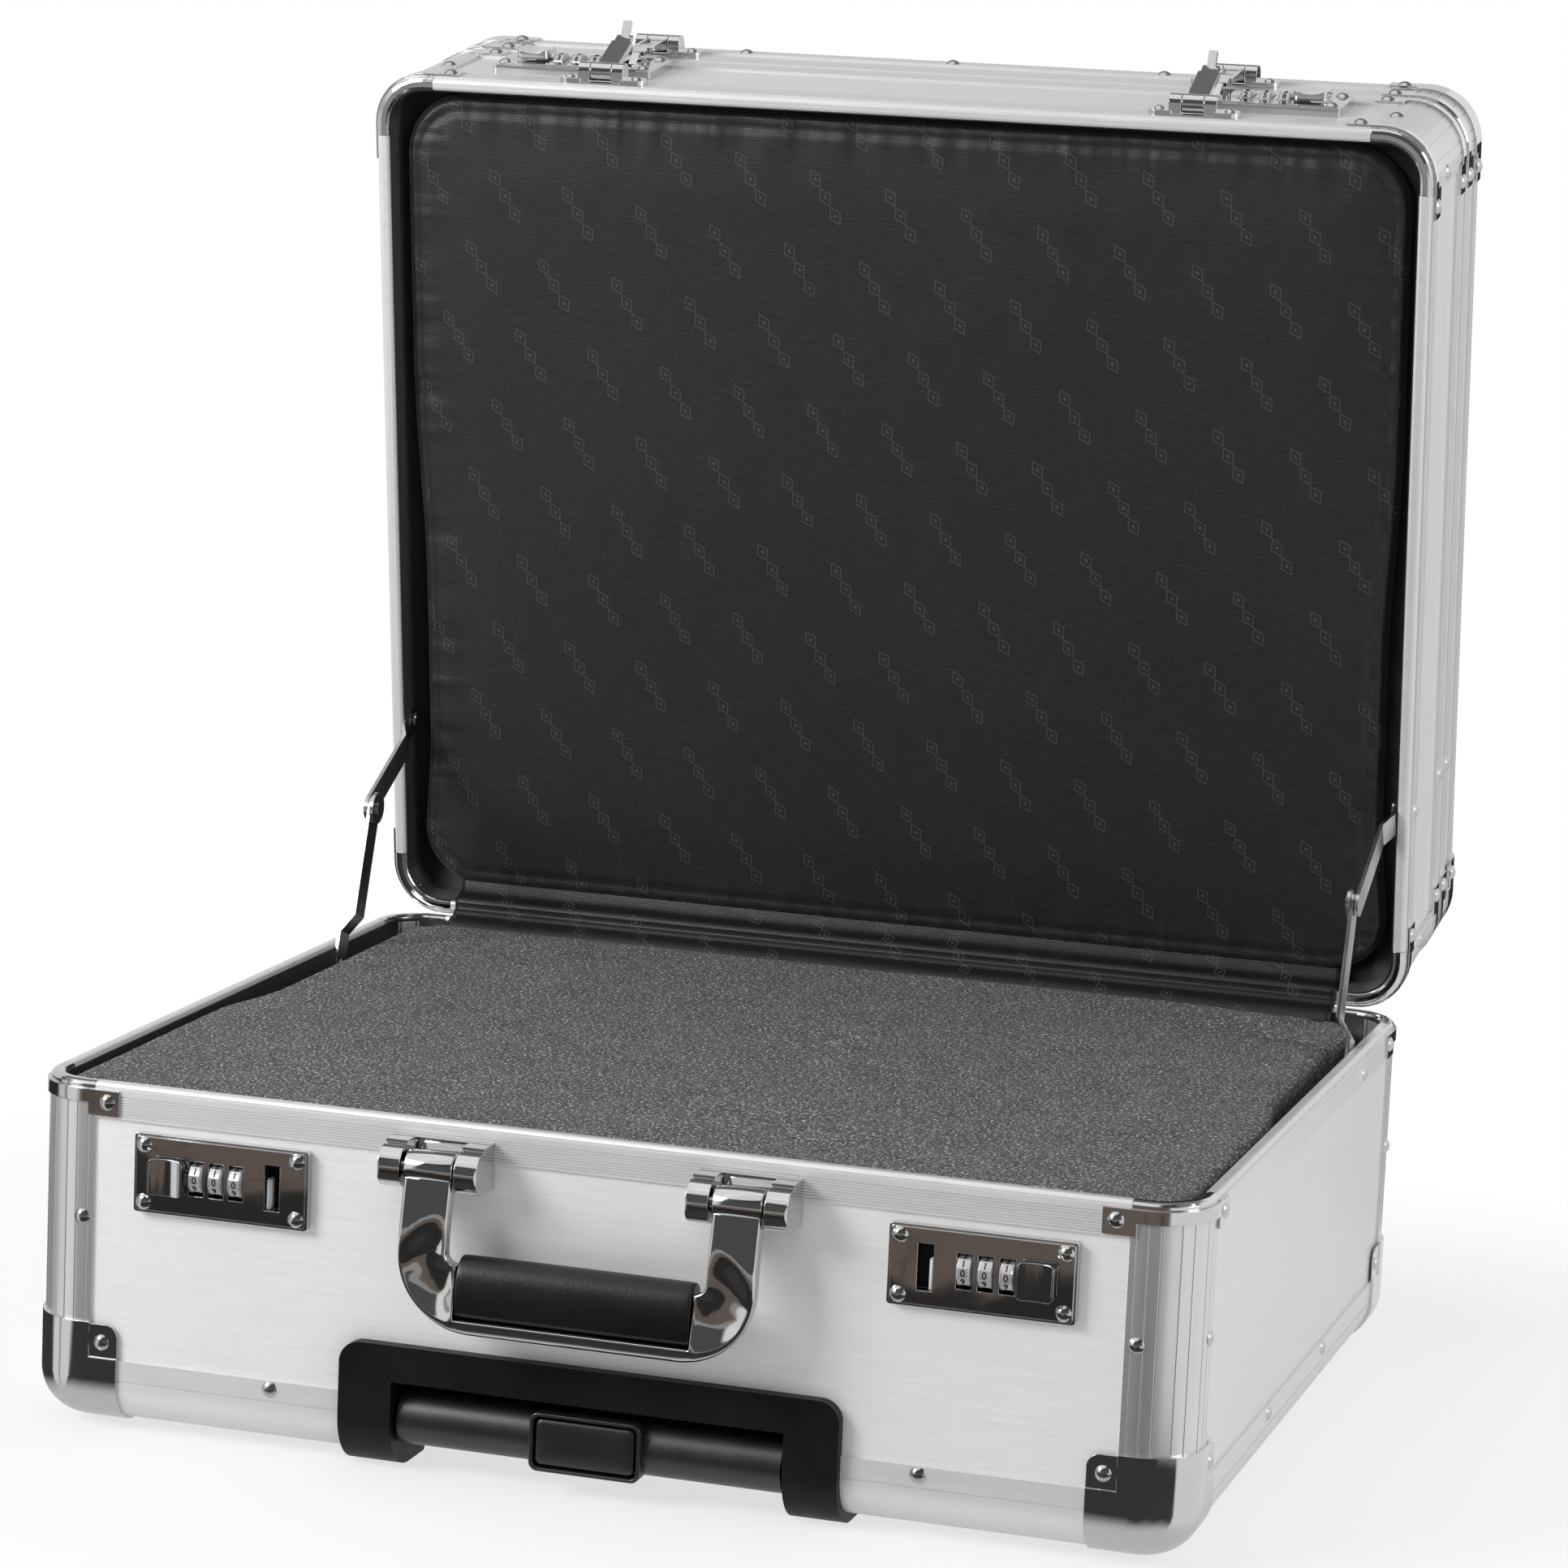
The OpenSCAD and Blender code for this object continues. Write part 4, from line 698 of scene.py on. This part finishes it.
# ---------------------------------------------------------------- fabric strip over the hinge
def make_strip():
    # the path across the hinge: (y, z) on the base, round the knuckles, then (up, back) on the lid
    line = [(179.2, 128.0), (179.6, 131.8), (181.6, 134.3), (183.6, 135.5), (185.4, 136.15), (187.0, 136.25)]
    lid_rows = [(3.9, 0.3), (5.4, 0.26), (6.9, 0.6), (7.7, 3.2), (8.2, 6.0), (9.6, 8.6),
                (12.6, 10.2), (14.4, 11.4)]
    for deg in (14, 34, 54, 74):
        a = math.radians(deg)
        line.append((191 - 2.85 * math.cos(a), 136 + 2.85 * math.sin(a)))
    for v, w in lid_rows:
        p = lid_at(0, v, w)
        line.append((p.y / MM, p.z / MM))
    n = 150
    half = 203.0
    verts, faces, uvs = [], [], []
    rows = len(line)
    for side in (0, 1):
        length = 0.0
        for k, (y, z) in enumerate(line):
            if k:
                length += math.hypot(y - line[k - 1][0], z - line[k - 1][1])
            a, b = line[max(k - 1, 0)], line[min(k + 1, rows - 1)]
            ty, tz = b[0] - a[0], b[1] - a[1]
            tl = math.hypot(ty, tz)
            ny, nz = -tz / tl, ty / tl
            loose = 0.5 if 1 <= k <= 3 or k >= rows - 5 else 0.05
            for i in range(n + 1):
                x = -half + 2 * half * i / n
                slow = noise.noise(Vector((x * 0.02, k * 0.6, 4.0)))
                quick = noise.noise(Vector((x * 0.09, k, 8.0)))
                ripple = loose * (0.7 * slow + 0.3 * quick - 0.1)
                off = ripple + (0.22 if side else 0.0)
                verts.append(Vector((x * MM, (y + ny * off) * MM, (z + nz * off) * MM)))
                uvs.append((x * MM, length * MM))
    per = n + 1
    for side in (0, 1):
        o = side * rows * per
        for k in range(rows - 1):
            for i in range(n):
                a = o + k * per + i
                q = (a, a + 1, a + per + 1, a + per)
                faces.append(q if side == 0 else tuple(reversed(q)))
    shift = rows * per
    for k in range(rows - 1):
        for i in (0, n):
            a = k * per + i
            q = (a, a + per, a + per + shift, a + shift)
            faces.append(q if i == 0 else tuple(reversed(q)))
    for i in range(n):
        for k in (0, rows - 1):
            a = k * per + i
            q = (a, a + shift, a + shift + 1, a + 1)
            faces.append(q if k == 0 else tuple(reversed(q)))
    ob = piece("hinge_strip", verts, faces, strip_print, None, uvs)
    length = sum(math.hypot(b[0] - a[0], b[1] - a[1]) for a, b in zip(line, line[1:]))
    a = lid_at(0, 3.9, 0.3)
    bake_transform(ob)


make_strip()


# ---------------------------------------------------------------- carry handle
def make_handle():
    arm, half, low = 19.4, 70.7, 60.0
    rows = []
    for i in range(13):
        z = 117.5 - (117.5 - 91) * i / 12
        rows.append(((-half, z), (-half + arm, z)))
    for i in range(1, 27):
        a = math.radians(180 + 90 * i / 26)
        outer = (-40.7 + 30 * math.cos(a), 90 + 30 * math.sin(a))
        k = i / 26
        if k < 0.22:
            b = math.radians(180 + 90 * k / 0.22)
            inner = (-47.3 + 4 * math.cos(b), 91 + 4 * math.sin(b))
        elif k < 0.8:
            inner = (-46.75, 87 - (87 - 66.6) * (k - 0.22) / 0.58)
        else:
            inner = (-46.75 + 6.0 * (k - 0.8) / 0.2, 66.45)
        rows.append((outer, inner))
    for i in range(1, 13):
        x = -40.7 + 40.7 * i / 12
        rows.append(((x, low), (x, 66.45)))
    rows += [((-o[0], o[1]), (-n[0], n[1])) for o, n in reversed(rows[:-1])]
    count = len(rows)
    across = 26

    def front_y(z, lip):
        """the bow's bulging front face, which lies a little further out along the lip under the grip"""
        return 32 - math.sqrt(246.6 ** 2 - (z - 74) ** 2) - 2.0 * lip + 1.3 * smoothstep(95, 118, z)

    def edge_drop(t, lip):
        """how far the cast edges fall back, outer edge at t = 0"""
        wide = 19.4 * (1 - lip) + 6.45 * lip
        outer, inner = 1.3 + 4.0 * lip, 1.3 - 0.5 * lip
        a = max(1 - t * wide / outer, 0.0)
        b = max(1 - (1 - t) * wide / inner, 0.0)
        round_a, round_b = 1 - math.sqrt(1 - a * a), 1 - math.sqrt(1 - b * b)
        return round_a * (2.4 + 3.6 * lip) + round_b * (2.4 - 1.7 * lip)

    verts, faces = [], []
    for r, (o, n) in enumerate(rows):
        place = min(r, count - 1 - r)
        lip = smoothstep(19, 36, place)
        depth = 5.2 + 10.6 * lip
        for i in range(across + 1):
            a = math.pi * i / across
            t = (1 - math.cos(a)) / 2
            x, z = o[0] + (n[0] - o[0]) * t, o[1] + (n[1] - o[1]) * t
            front = front_y(z, lip)
            crease = (105.5 - 15 * (1 - t) + 3 * math.sin(math.pi * t)) - z
            mid = math.sin(math.pi * t)
            dish = 2.6 * smoothstep(-0.4, 11, crease) * (1 - smoothstep(23, 33, place)) * mid ** 0.9
            bulge = 0.6 * mid * (1 - lip) * (1 - smoothstep(-3, 3, crease))
            side = depth if i in (0, across) else edge_drop(t, lip)
            verts.append(Vector((x, front + side + dish - bulge, z)) * MM)
        for i in range(1, 7):
            t = 1 - i / 7
            x, z = o[0] + (n[0] - o[0]) * t, o[1] + (n[1] - o[1]) * t
            front = front_y(z, lip)
            verts.append(Vector((x, front + depth + 0.02, z)) * MM)
    per = across + 7
    for r in range(count - 1):
        for i in range(per):
            j = (i + 1) % per
            faces.append((r * per + i, (r + 1) * per + i, (r + 1) * per + j, r * per + j))
    faces.append(tuple(range(per)))
    faces.append(tuple(reversed(range((count - 1) * per, count * per))))
    # turned barrels round the pins
    for s in (-1, 1):
        profile = [(-9.7, 0.0), (-9.7, 6.4), (-9.5, 6.8), (-9.1, 7.0),
                   (9.1, 7.0), (9.5, 6.8), (9.7, 6.4), (9.7, 0.0)]
        n = 40
        o = len(verts)
        for px, pr in profile:
            for i in range(n if pr else 1):
                a = 2 * math.pi * i / n
                at = Vector((s * PIN_X + px, PIN_Y + pr * math.cos(a), PIN_Z + pr * math.sin(a)))
                verts.append(at * MM)
        ring = [[o]] + [[o + 1 + k * n + i for i in range(n)] for k in range(6)] + [[o + 1 + 6 * n]]
        for i in range(n):
            j = (i + 1) % n
            faces.append((ring[0][0], ring[1][j], ring[1][i]))
            faces.append((ring[7][0], ring[6][i], ring[6][j]))
            for k in range(1, 6):
                faces.append((ring[k][i], ring[k][j], ring[k + 1][j], ring[k + 1][i]))
    ob = piece("handle_bow_cast", verts, faces, chrome_cast, "handle")
    fix_normals(ob)
    sharpen(ob, 50)
    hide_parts("handle_bow")

    # the black sleeve round the bow's bar: its section in (y, z), swept across
    section = [(-215.0, 66.55), (-215.5, 70.0), (-215.9, 74.5), (-215.8, 79.5), (-214.9, 83.6),
               (-213.3, 86.8), (-211.0, 89.1), (-208.2, 90.3), (-205.4, 90.0), (-203.2, 88.3),
               (-201.9, 85.6), (-201.4, 82.0), (-201.4, 70.0), (-201.6, 66.55)]
    verts = []
    cy, cz = -208.0, 77.0
    steps = [-46.45, -46.3, -45.8, -44.5] + [-40 + 10 * i for i in range(9)] + [44.5, 45.8, 46.3, 46.45]
    shrink = {46.45: 0.93, 46.3: 0.965, 45.8: 0.99}
    for x in steps:
        k = shrink.get(abs(x), 1.0) * (1.0 + 0.012 * (1 - (x / 46.5) ** 2))
        for y, z in section:
            verts.append(Vector((x, cy + (y - cy) * k, max(cz + (z - cz) * k, 66.5))) * MM)
    m = len(section)
    faces = ring_faces(len(steps), m)
    faces.append(tuple(reversed(range(m))))
    faces.append(tuple(range((len(steps) - 1) * m, len(steps) * m)))
    ob = piece("handle_grip_sleeve", verts, faces, grip_skin, "handle")
    fix_normals(ob)
    sharpen(ob, 55)
    subdivide(ob, 1)
    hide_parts("handle_grip")


make_handle()


# ---------------------------------------------------------------- trolley button
def make_trolley_button():
    """a pillow-shaped push button inside a raised frame on the trolley's bar"""
    cx, cy, cz = 0.0, -192.0, 17.0

    def loops(rows):
        verts = []
        for w, h, r, proud in rows:
            for x, z in rounded_path(w / 2, h / 2, r):
                verts.append(Vector((cx + x, cy - proud, cz + z)) * MM)
        return verts, len(verts) // len(rows)

    rows = [(44.6, 23.0, 3.6, -6.0), (44.6, 23.0, 3.6, 1.9), (44.2, 22.6, 3.4, 2.3), (43.6, 22.0, 3.2, 2.5),
            (42.4, 20.8, 2.8, 2.5), (41.8, 20.2, 2.6, 2.3), (41.5, 19.9, 2.5, 1.9), (41.5, 19.9, 2.5, -6.0)]
    verts, n = loops(rows)
    faces = ring_faces(len(rows), n, closed=True)
    ob = piece("trolley_button_frame", verts, faces, bar_plastic, "trolley")
    fix_normals(ob)
    sharpen(ob, 50)

    rows = [(39.4, 17.8, 2.4, -4.5), (39.4, 17.8, 2.4, 1.2), (39.1, 17.5, 2.3, 1.6), (38.4, 16.8, 2.0, 1.85),
            (36.0, 14.4, 2.0, 2.1), (31.0, 9.4, 2.0, 2.35), (25.0, 4.4, 1.6, 2.45)]
    verts, n = loops(rows)
    faces = ring_faces(len(rows), n)
    faces.append(tuple(range(n)))
    faces.append(tuple(range((len(rows) - 1) * n, len(rows) * n)))
    ob = piece("trolley_button_pad", verts, faces, bar_plastic, "trolley_button")
    fix_normals(ob)
    sharpen(ob, 50)
    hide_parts("trolley_button")


make_trolley_button()


# ---------------------------------------------------------------- number dials
def digit_meshes():
    out = []
    for d in range(10):
        cu = bpy.data.curves.new(f"digit_{d}", "FONT")
        cu.body = str(d)
        cu.size = 3.9
        cu.extrude = 0.12
        cu.align_x = "CENTER"
        cu.align_y = "CENTER"
        cu.resolution_u = 3
        ob = bpy.data.objects.new(f"digit_{d}", cu)
        bpy.context.scene.collection.objects.link(ob)
        bpy.context.view_layer.update()
        me = ob.evaluated_get(bpy.context.evaluated_depsgraph_get()).to_mesh()
        vs = [v.co.copy() for v in me.vertices]
        cx = (max(v.x for v in vs) + min(v.x for v in vs)) / 2
        cy = (max(v.y for v in vs) + min(v.y for v in vs)) / 2
        out.append(([Vector((v.x - cx, v.y - cy, v.z)) for v in vs],
                    [tuple(p.vertices) for p in me.polygons]))
        bpy.data.objects.remove(ob)
        bpy.data.curves.remove(cu)
    return out


DIGITS = digit_meshes()


def make_dial(name, centre, out, up, first):
    """a ten-sided drum with raised numbers and a rim on each side; node and body share the name"""
    verts = []
    across = Vector((1, 0, 0))
    radius = 6.3
    half_face, face = math.radians(18), math.radians(36)

    def put(x, r, angle):
        return centre + across * x * MM + (out * math.cos(angle) + up * math.sin(angle)) * r * MM

    profile = [(-2.7, 2.0), (-2.7, radius - 1.0), (-2.45, radius - 0.35), (-2.1, radius - 0.1),
               (-1.85, radius - 0.35), (1.85, radius - 0.35), (2.1, radius - 0.1), (2.45, radius - 0.35),
               (2.7, radius - 1.0), (2.7, 2.0)]
    n = 30
    for x, r in profile:
        for i in range(n):
            a = 2 * math.pi * i / n + half_face
            poly = math.cos(half_face) / math.cos(((a - half_face) % face) - half_face)
            rr = r if r < 3 else r * (0.35 + 0.65 * poly)
            verts.append(put(x, rr, a))
    faces = ring_faces(len(profile), n, closed=True)
    kinds = [0] * len(faces)
    for d in range(10):
        a = math.radians(36 * (d - first))
        o_dir = out * math.cos(a) + up * math.sin(a)
        u_dir = up * math.cos(a) - out * math.sin(a)
        r = (radius - 0.35) * (0.35 + 0.65 * math.cos(half_face)) + 0.02
        dv, df = DIGITS[d]
        o = len(verts)
        for v in dv:
            verts.append(centre + across * v.x * MM + u_dir * v.y * MM + o_dir * (r + v.z) * MM)
        for f in df:
            faces.append(tuple(i + o for i in f))
            kinds.append(1)
    ob = piece(name + "_drum", verts, faces, None, name, smooth=False,
               looks=[dial_metal, ink], face_looks=kinds)
    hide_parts(name)


for shell, out, up in (("base", Vector((0, -1, 0)), Vector((0, 0, 1))), ("lid", V_DIR, W_DIR)):
    for side, sign in (("left", -1), ("right", 1)):
        for k in (1, 2, 3):
            step = (k - 2) if side == "right" else (2 - k)
            x = sign * (LOCK_X + DIALS_X + step * DIAL_PITCH)
            c = Vector((x * MM, -0.1908, 0.1029)) if shell == "base" else lid_at(x, 381.8, LID_LOCK_W)
            first = (k * 3 + (side == "left")) % 10 if shell == "lid" else 0
            make_dial(f"{shell}_{side}_dial_{k}", c, out, up, first)


def make_catch(shell, side, sign, at):
    """the white nylon catch behind a lock's slot"""
    bm = bmesh.new()
    box_mesh(bm, (-20.25, -1.75, -9.0), (-18.65, 3.4, 3.1))
    bmesh.ops.bevel(bm, geom=bm.edges[:], offset=0.35, segments=2, affect="EDGES")
    verts = [at(sign * (LOCK_X + v.co.x), v.co.y, v.co.z) for v in bm.verts]
    faces = [tuple(v.index for v in f.verts) for f in bm.faces]
    bm.free()
    ob = piece(f"{shell}_{side}_catch", verts, faces, nylon, f"{shell}_{side}_slide")


for side, sign in (("left", -1), ("right", 1)):
    make_catch("base", side, sign, lambda x, y, z: base_at(x, y - HD, z + LOCK_Z))
    make_catch("lid", side, sign, lambda x, y, z: lid_at(x, 2 * HD - y, z + LID_LOCK_W))


# ---------------------------------------------------------------- floor, light, camera
def studio_bands(x, y, edge=65.0):
    """what polished metal sees round the object: a dark front and soft boxes with gaps between them"""
    turn = x.arctan2(y * -1.0) * (180 / math.pi)
    left = (turn + 48.0).abs().ramp(8, 15, 0.8, 0.04) + (turn + 74.0).abs().ramp(6, 14, 0.5, 0.0)
    left = left + (turn + 180.0).abs().ramp(82, 88, 0.62, 0.0)
    right = (turn - 60.0 - edge).abs().ramp(60, 68, 0.85, 0.0)
    return left.max(right).min(0.85)


def make_stage():
    """floor, world and lamps. Glossy rays see a floor coloured by its place beside the case's footprint:
    the table close by, a dark room in front, and soft boxes at the sides"""
    me = bpy.data.meshes.new("floor")
    s = 30.0
    z = -0.0041  # just under the feet
    me.from_pydata([(-s, -s, z), (s, -s, z), (s, s, z), (-s, s, z)], [], [(0, 1, 2, 3)])
    fl = bpy.data.objects.new("floor", me)
    bpy.context.scene.collection.objects.link(fl)
    m = Mat("floor_white", (0.9, 0.9, 0.9), 0.9)
    m.set("Specular IOR Level", 0.0)
    t = m.tree
    x, y, _ = m.split(m.coords())
    dx = (x.abs() - 0.225).max(0.0) * x.sign()
    dy = (y.abs() - 0.19).max(0.0) * y.sign()
    apart = (dx * dx + dy * dy).power(0.5)
    far = apart.ramp(0.0, 0.3, 0.7, 1, True)
    lp = m.node("ShaderNodeLightPath")
    glossy = Val(t, lp.outputs["Is Glossy Ray"])
    white = m.node("ShaderNodeEmission")
    white.inputs[0].default_value = (1, 1, 1, 1)
    white.inputs[1].default_value = 1.0
    far = far * Val(t, lp.outputs["Is Camera Ray"])
    dark = m.node("ShaderNodeEmission")
    table = apart.ramp(0.008, 0.05, 1.0, 0.0, True)
    drift = m.noise(m.coords((7, 4, 1)), 1.0, 1.0)
    room = (y + drift * 0.16).ramp(-0.54, -0.52, 1.0, 0.0, True)
    vein = (m.noise(m.coords((5, 3, 1)), 1.0, 1.0) - 0.5).abs().ramp(0.004, 0.012, 1.0, 0.0)
    shade = m.color(room * (vein * -0.8 + 1.0), (0.014, 0.013, 0.012), (0.14, 0.107, 0.088))
    shade = m.blend_in(y.ramp(-1.25, -0.95, 1.0, 0.0, True), shade, (0.3, 0.3, 0.3))
    sides = studio_bands(dx, dy, 82.0)
    wide = studio_bands(dx, dy, 40.0)
    out = apart.ramp(0.14, 0.2)
    sides = sides * (out * -1.0 + 1.0) + wide * out * 0.75
    shade = m.blend_in(sides.ramp(0.02, 0.5), shade, (0.78, 0.78, 0.78))
    shade = m.blend_in(table, shade, (0.6, 0.6, 0.6))
    t.links.new(shade.socket, dark.inputs[0])
    mix1 = m.node("ShaderNodeMixShader")
    t.links.new(far.socket, mix1.inputs[0])
    t.links.new(m.bsdf.outputs[0], mix1.inputs[1])
    t.links.new(white.outputs[0], mix1.inputs[2])
    mix2 = m.node("ShaderNodeMixShader")
    t.links.new(glossy.socket, mix2.inputs[0])
    t.links.new(mix1.outputs[0], mix2.inputs[1])
    t.links.new(dark.outputs[0], mix2.inputs[2])
    t.links.new(mix2.outputs[0], t.nodes["Material Output"].inputs[0])
    me.materials.append(m.m)

    world = bpy.data.worlds.new("studio")
    bpy.context.scene.world = world
    world.use_nodes = True
    wt = world.node_tree
    wt.nodes.clear()
    out = wt.nodes.new("ShaderNodeOutputWorld")
    tc = wt.nodes.new("ShaderNodeTexCoord")
    sep = wt.nodes.new("ShaderNodeSeparateXYZ")
    wt.links.new(tc.outputs["Generated"], sep.inputs[0])
    X, Y, Z = (Val(wt, o) for o in sep.outputs)
    lp = wt.nodes.new("ShaderNodeLightPath")
    camera = Val(wt, lp.outputs["Is Camera Ray"])
    glossy = Val(wt, lp.outputs["Is Glossy Ray"])
    bands = studio_bands(X, Y)
    roof = Z.ramp(0.5, 0.62, 0.0, 1.0, True)
    box = (Z - Y * 0.2 - X * 0.3).ramp(0.86, 0.92, 0.0, 0.8, True)
    studio = bands * (roof * -0.8 + 1.0) + box + 0.045
    ambient = Val(wt, wt.nodes.new("ShaderNodeValue").outputs[0])
    ambient.socket.default_value = 0.48
    level = glossy * studio + (glossy * -1.0 + 1.0) * ambient
    level = camera.max(level * (camera * -1.0 + 1.0))
    bg = wt.nodes.new("ShaderNodeBackground")
    bg.inputs[0].default_value = (1, 1, 1, 1)
    wt.links.new(level.socket, bg.inputs[1])
    wt.links.new(bg.outputs[0], out.inputs[0])

    def lamp(name, where, aim, size, power):
        data = bpy.data.lights.new(name, "AREA")
        data.shape = "RECTANGLE"
        data.size, data.size_y = size
        data.energy = power
        ob = bpy.data.objects.new(name, data)
        bpy.context.scene.collection.objects.link(ob)
        ob.location = where
        ob.rotation_mode = "QUATERNION"
        ob.rotation_quaternion = (Vector(where) - Vector(aim)).to_track_quat("Z", "Y")

    lamp("key", (-1.35, -1.3, 1.15), (-0.15, 0, 0.15), (0.9, 0.7), 27)
    lamp("fill", (2.6, -0.3, 1.3), (0, 0, 0.25), (1.2, 1.6), 17)


make_stage()


def make_camera():
    """the photograph's view, as solved from it"""
    yaw, pitch, roll = 0.2965775558748634, -0.1665249612054191, 0.04306328965716146
    fwd = Vector((-math.sin(yaw) * math.cos(pitch), math.cos(yaw) * math.cos(pitch), math.sin(pitch)))
    right = Vector((math.cos(yaw), math.sin(yaw), 0))
    up = right.cross(fwd)
    r2 = right * math.cos(roll) + up * math.sin(roll)
    u2 = up * math.cos(roll) - right * math.sin(roll)
    data = bpy.data.cameras.new("camera")
    data.sensor_width = 36
    data.lens = FOCAL_PX / PHOTO_PX * data.sensor_width
    data.clip_start, data.clip_end = 0.05, 100
    ob = bpy.data.objects.new("camera", data)
    bpy.context.scene.collection.objects.link(ob)
    ob.matrix_world = Matrix(((r2.x, u2.x, -fwd.x, 0.6275065), (r2.y, u2.y, -fwd.y, -2.0262747),
                              (r2.z, u2.z, -fwd.z, 0.5997123), (0, 0, 0, 1)))
    bpy.context.scene.camera = ob


make_camera()
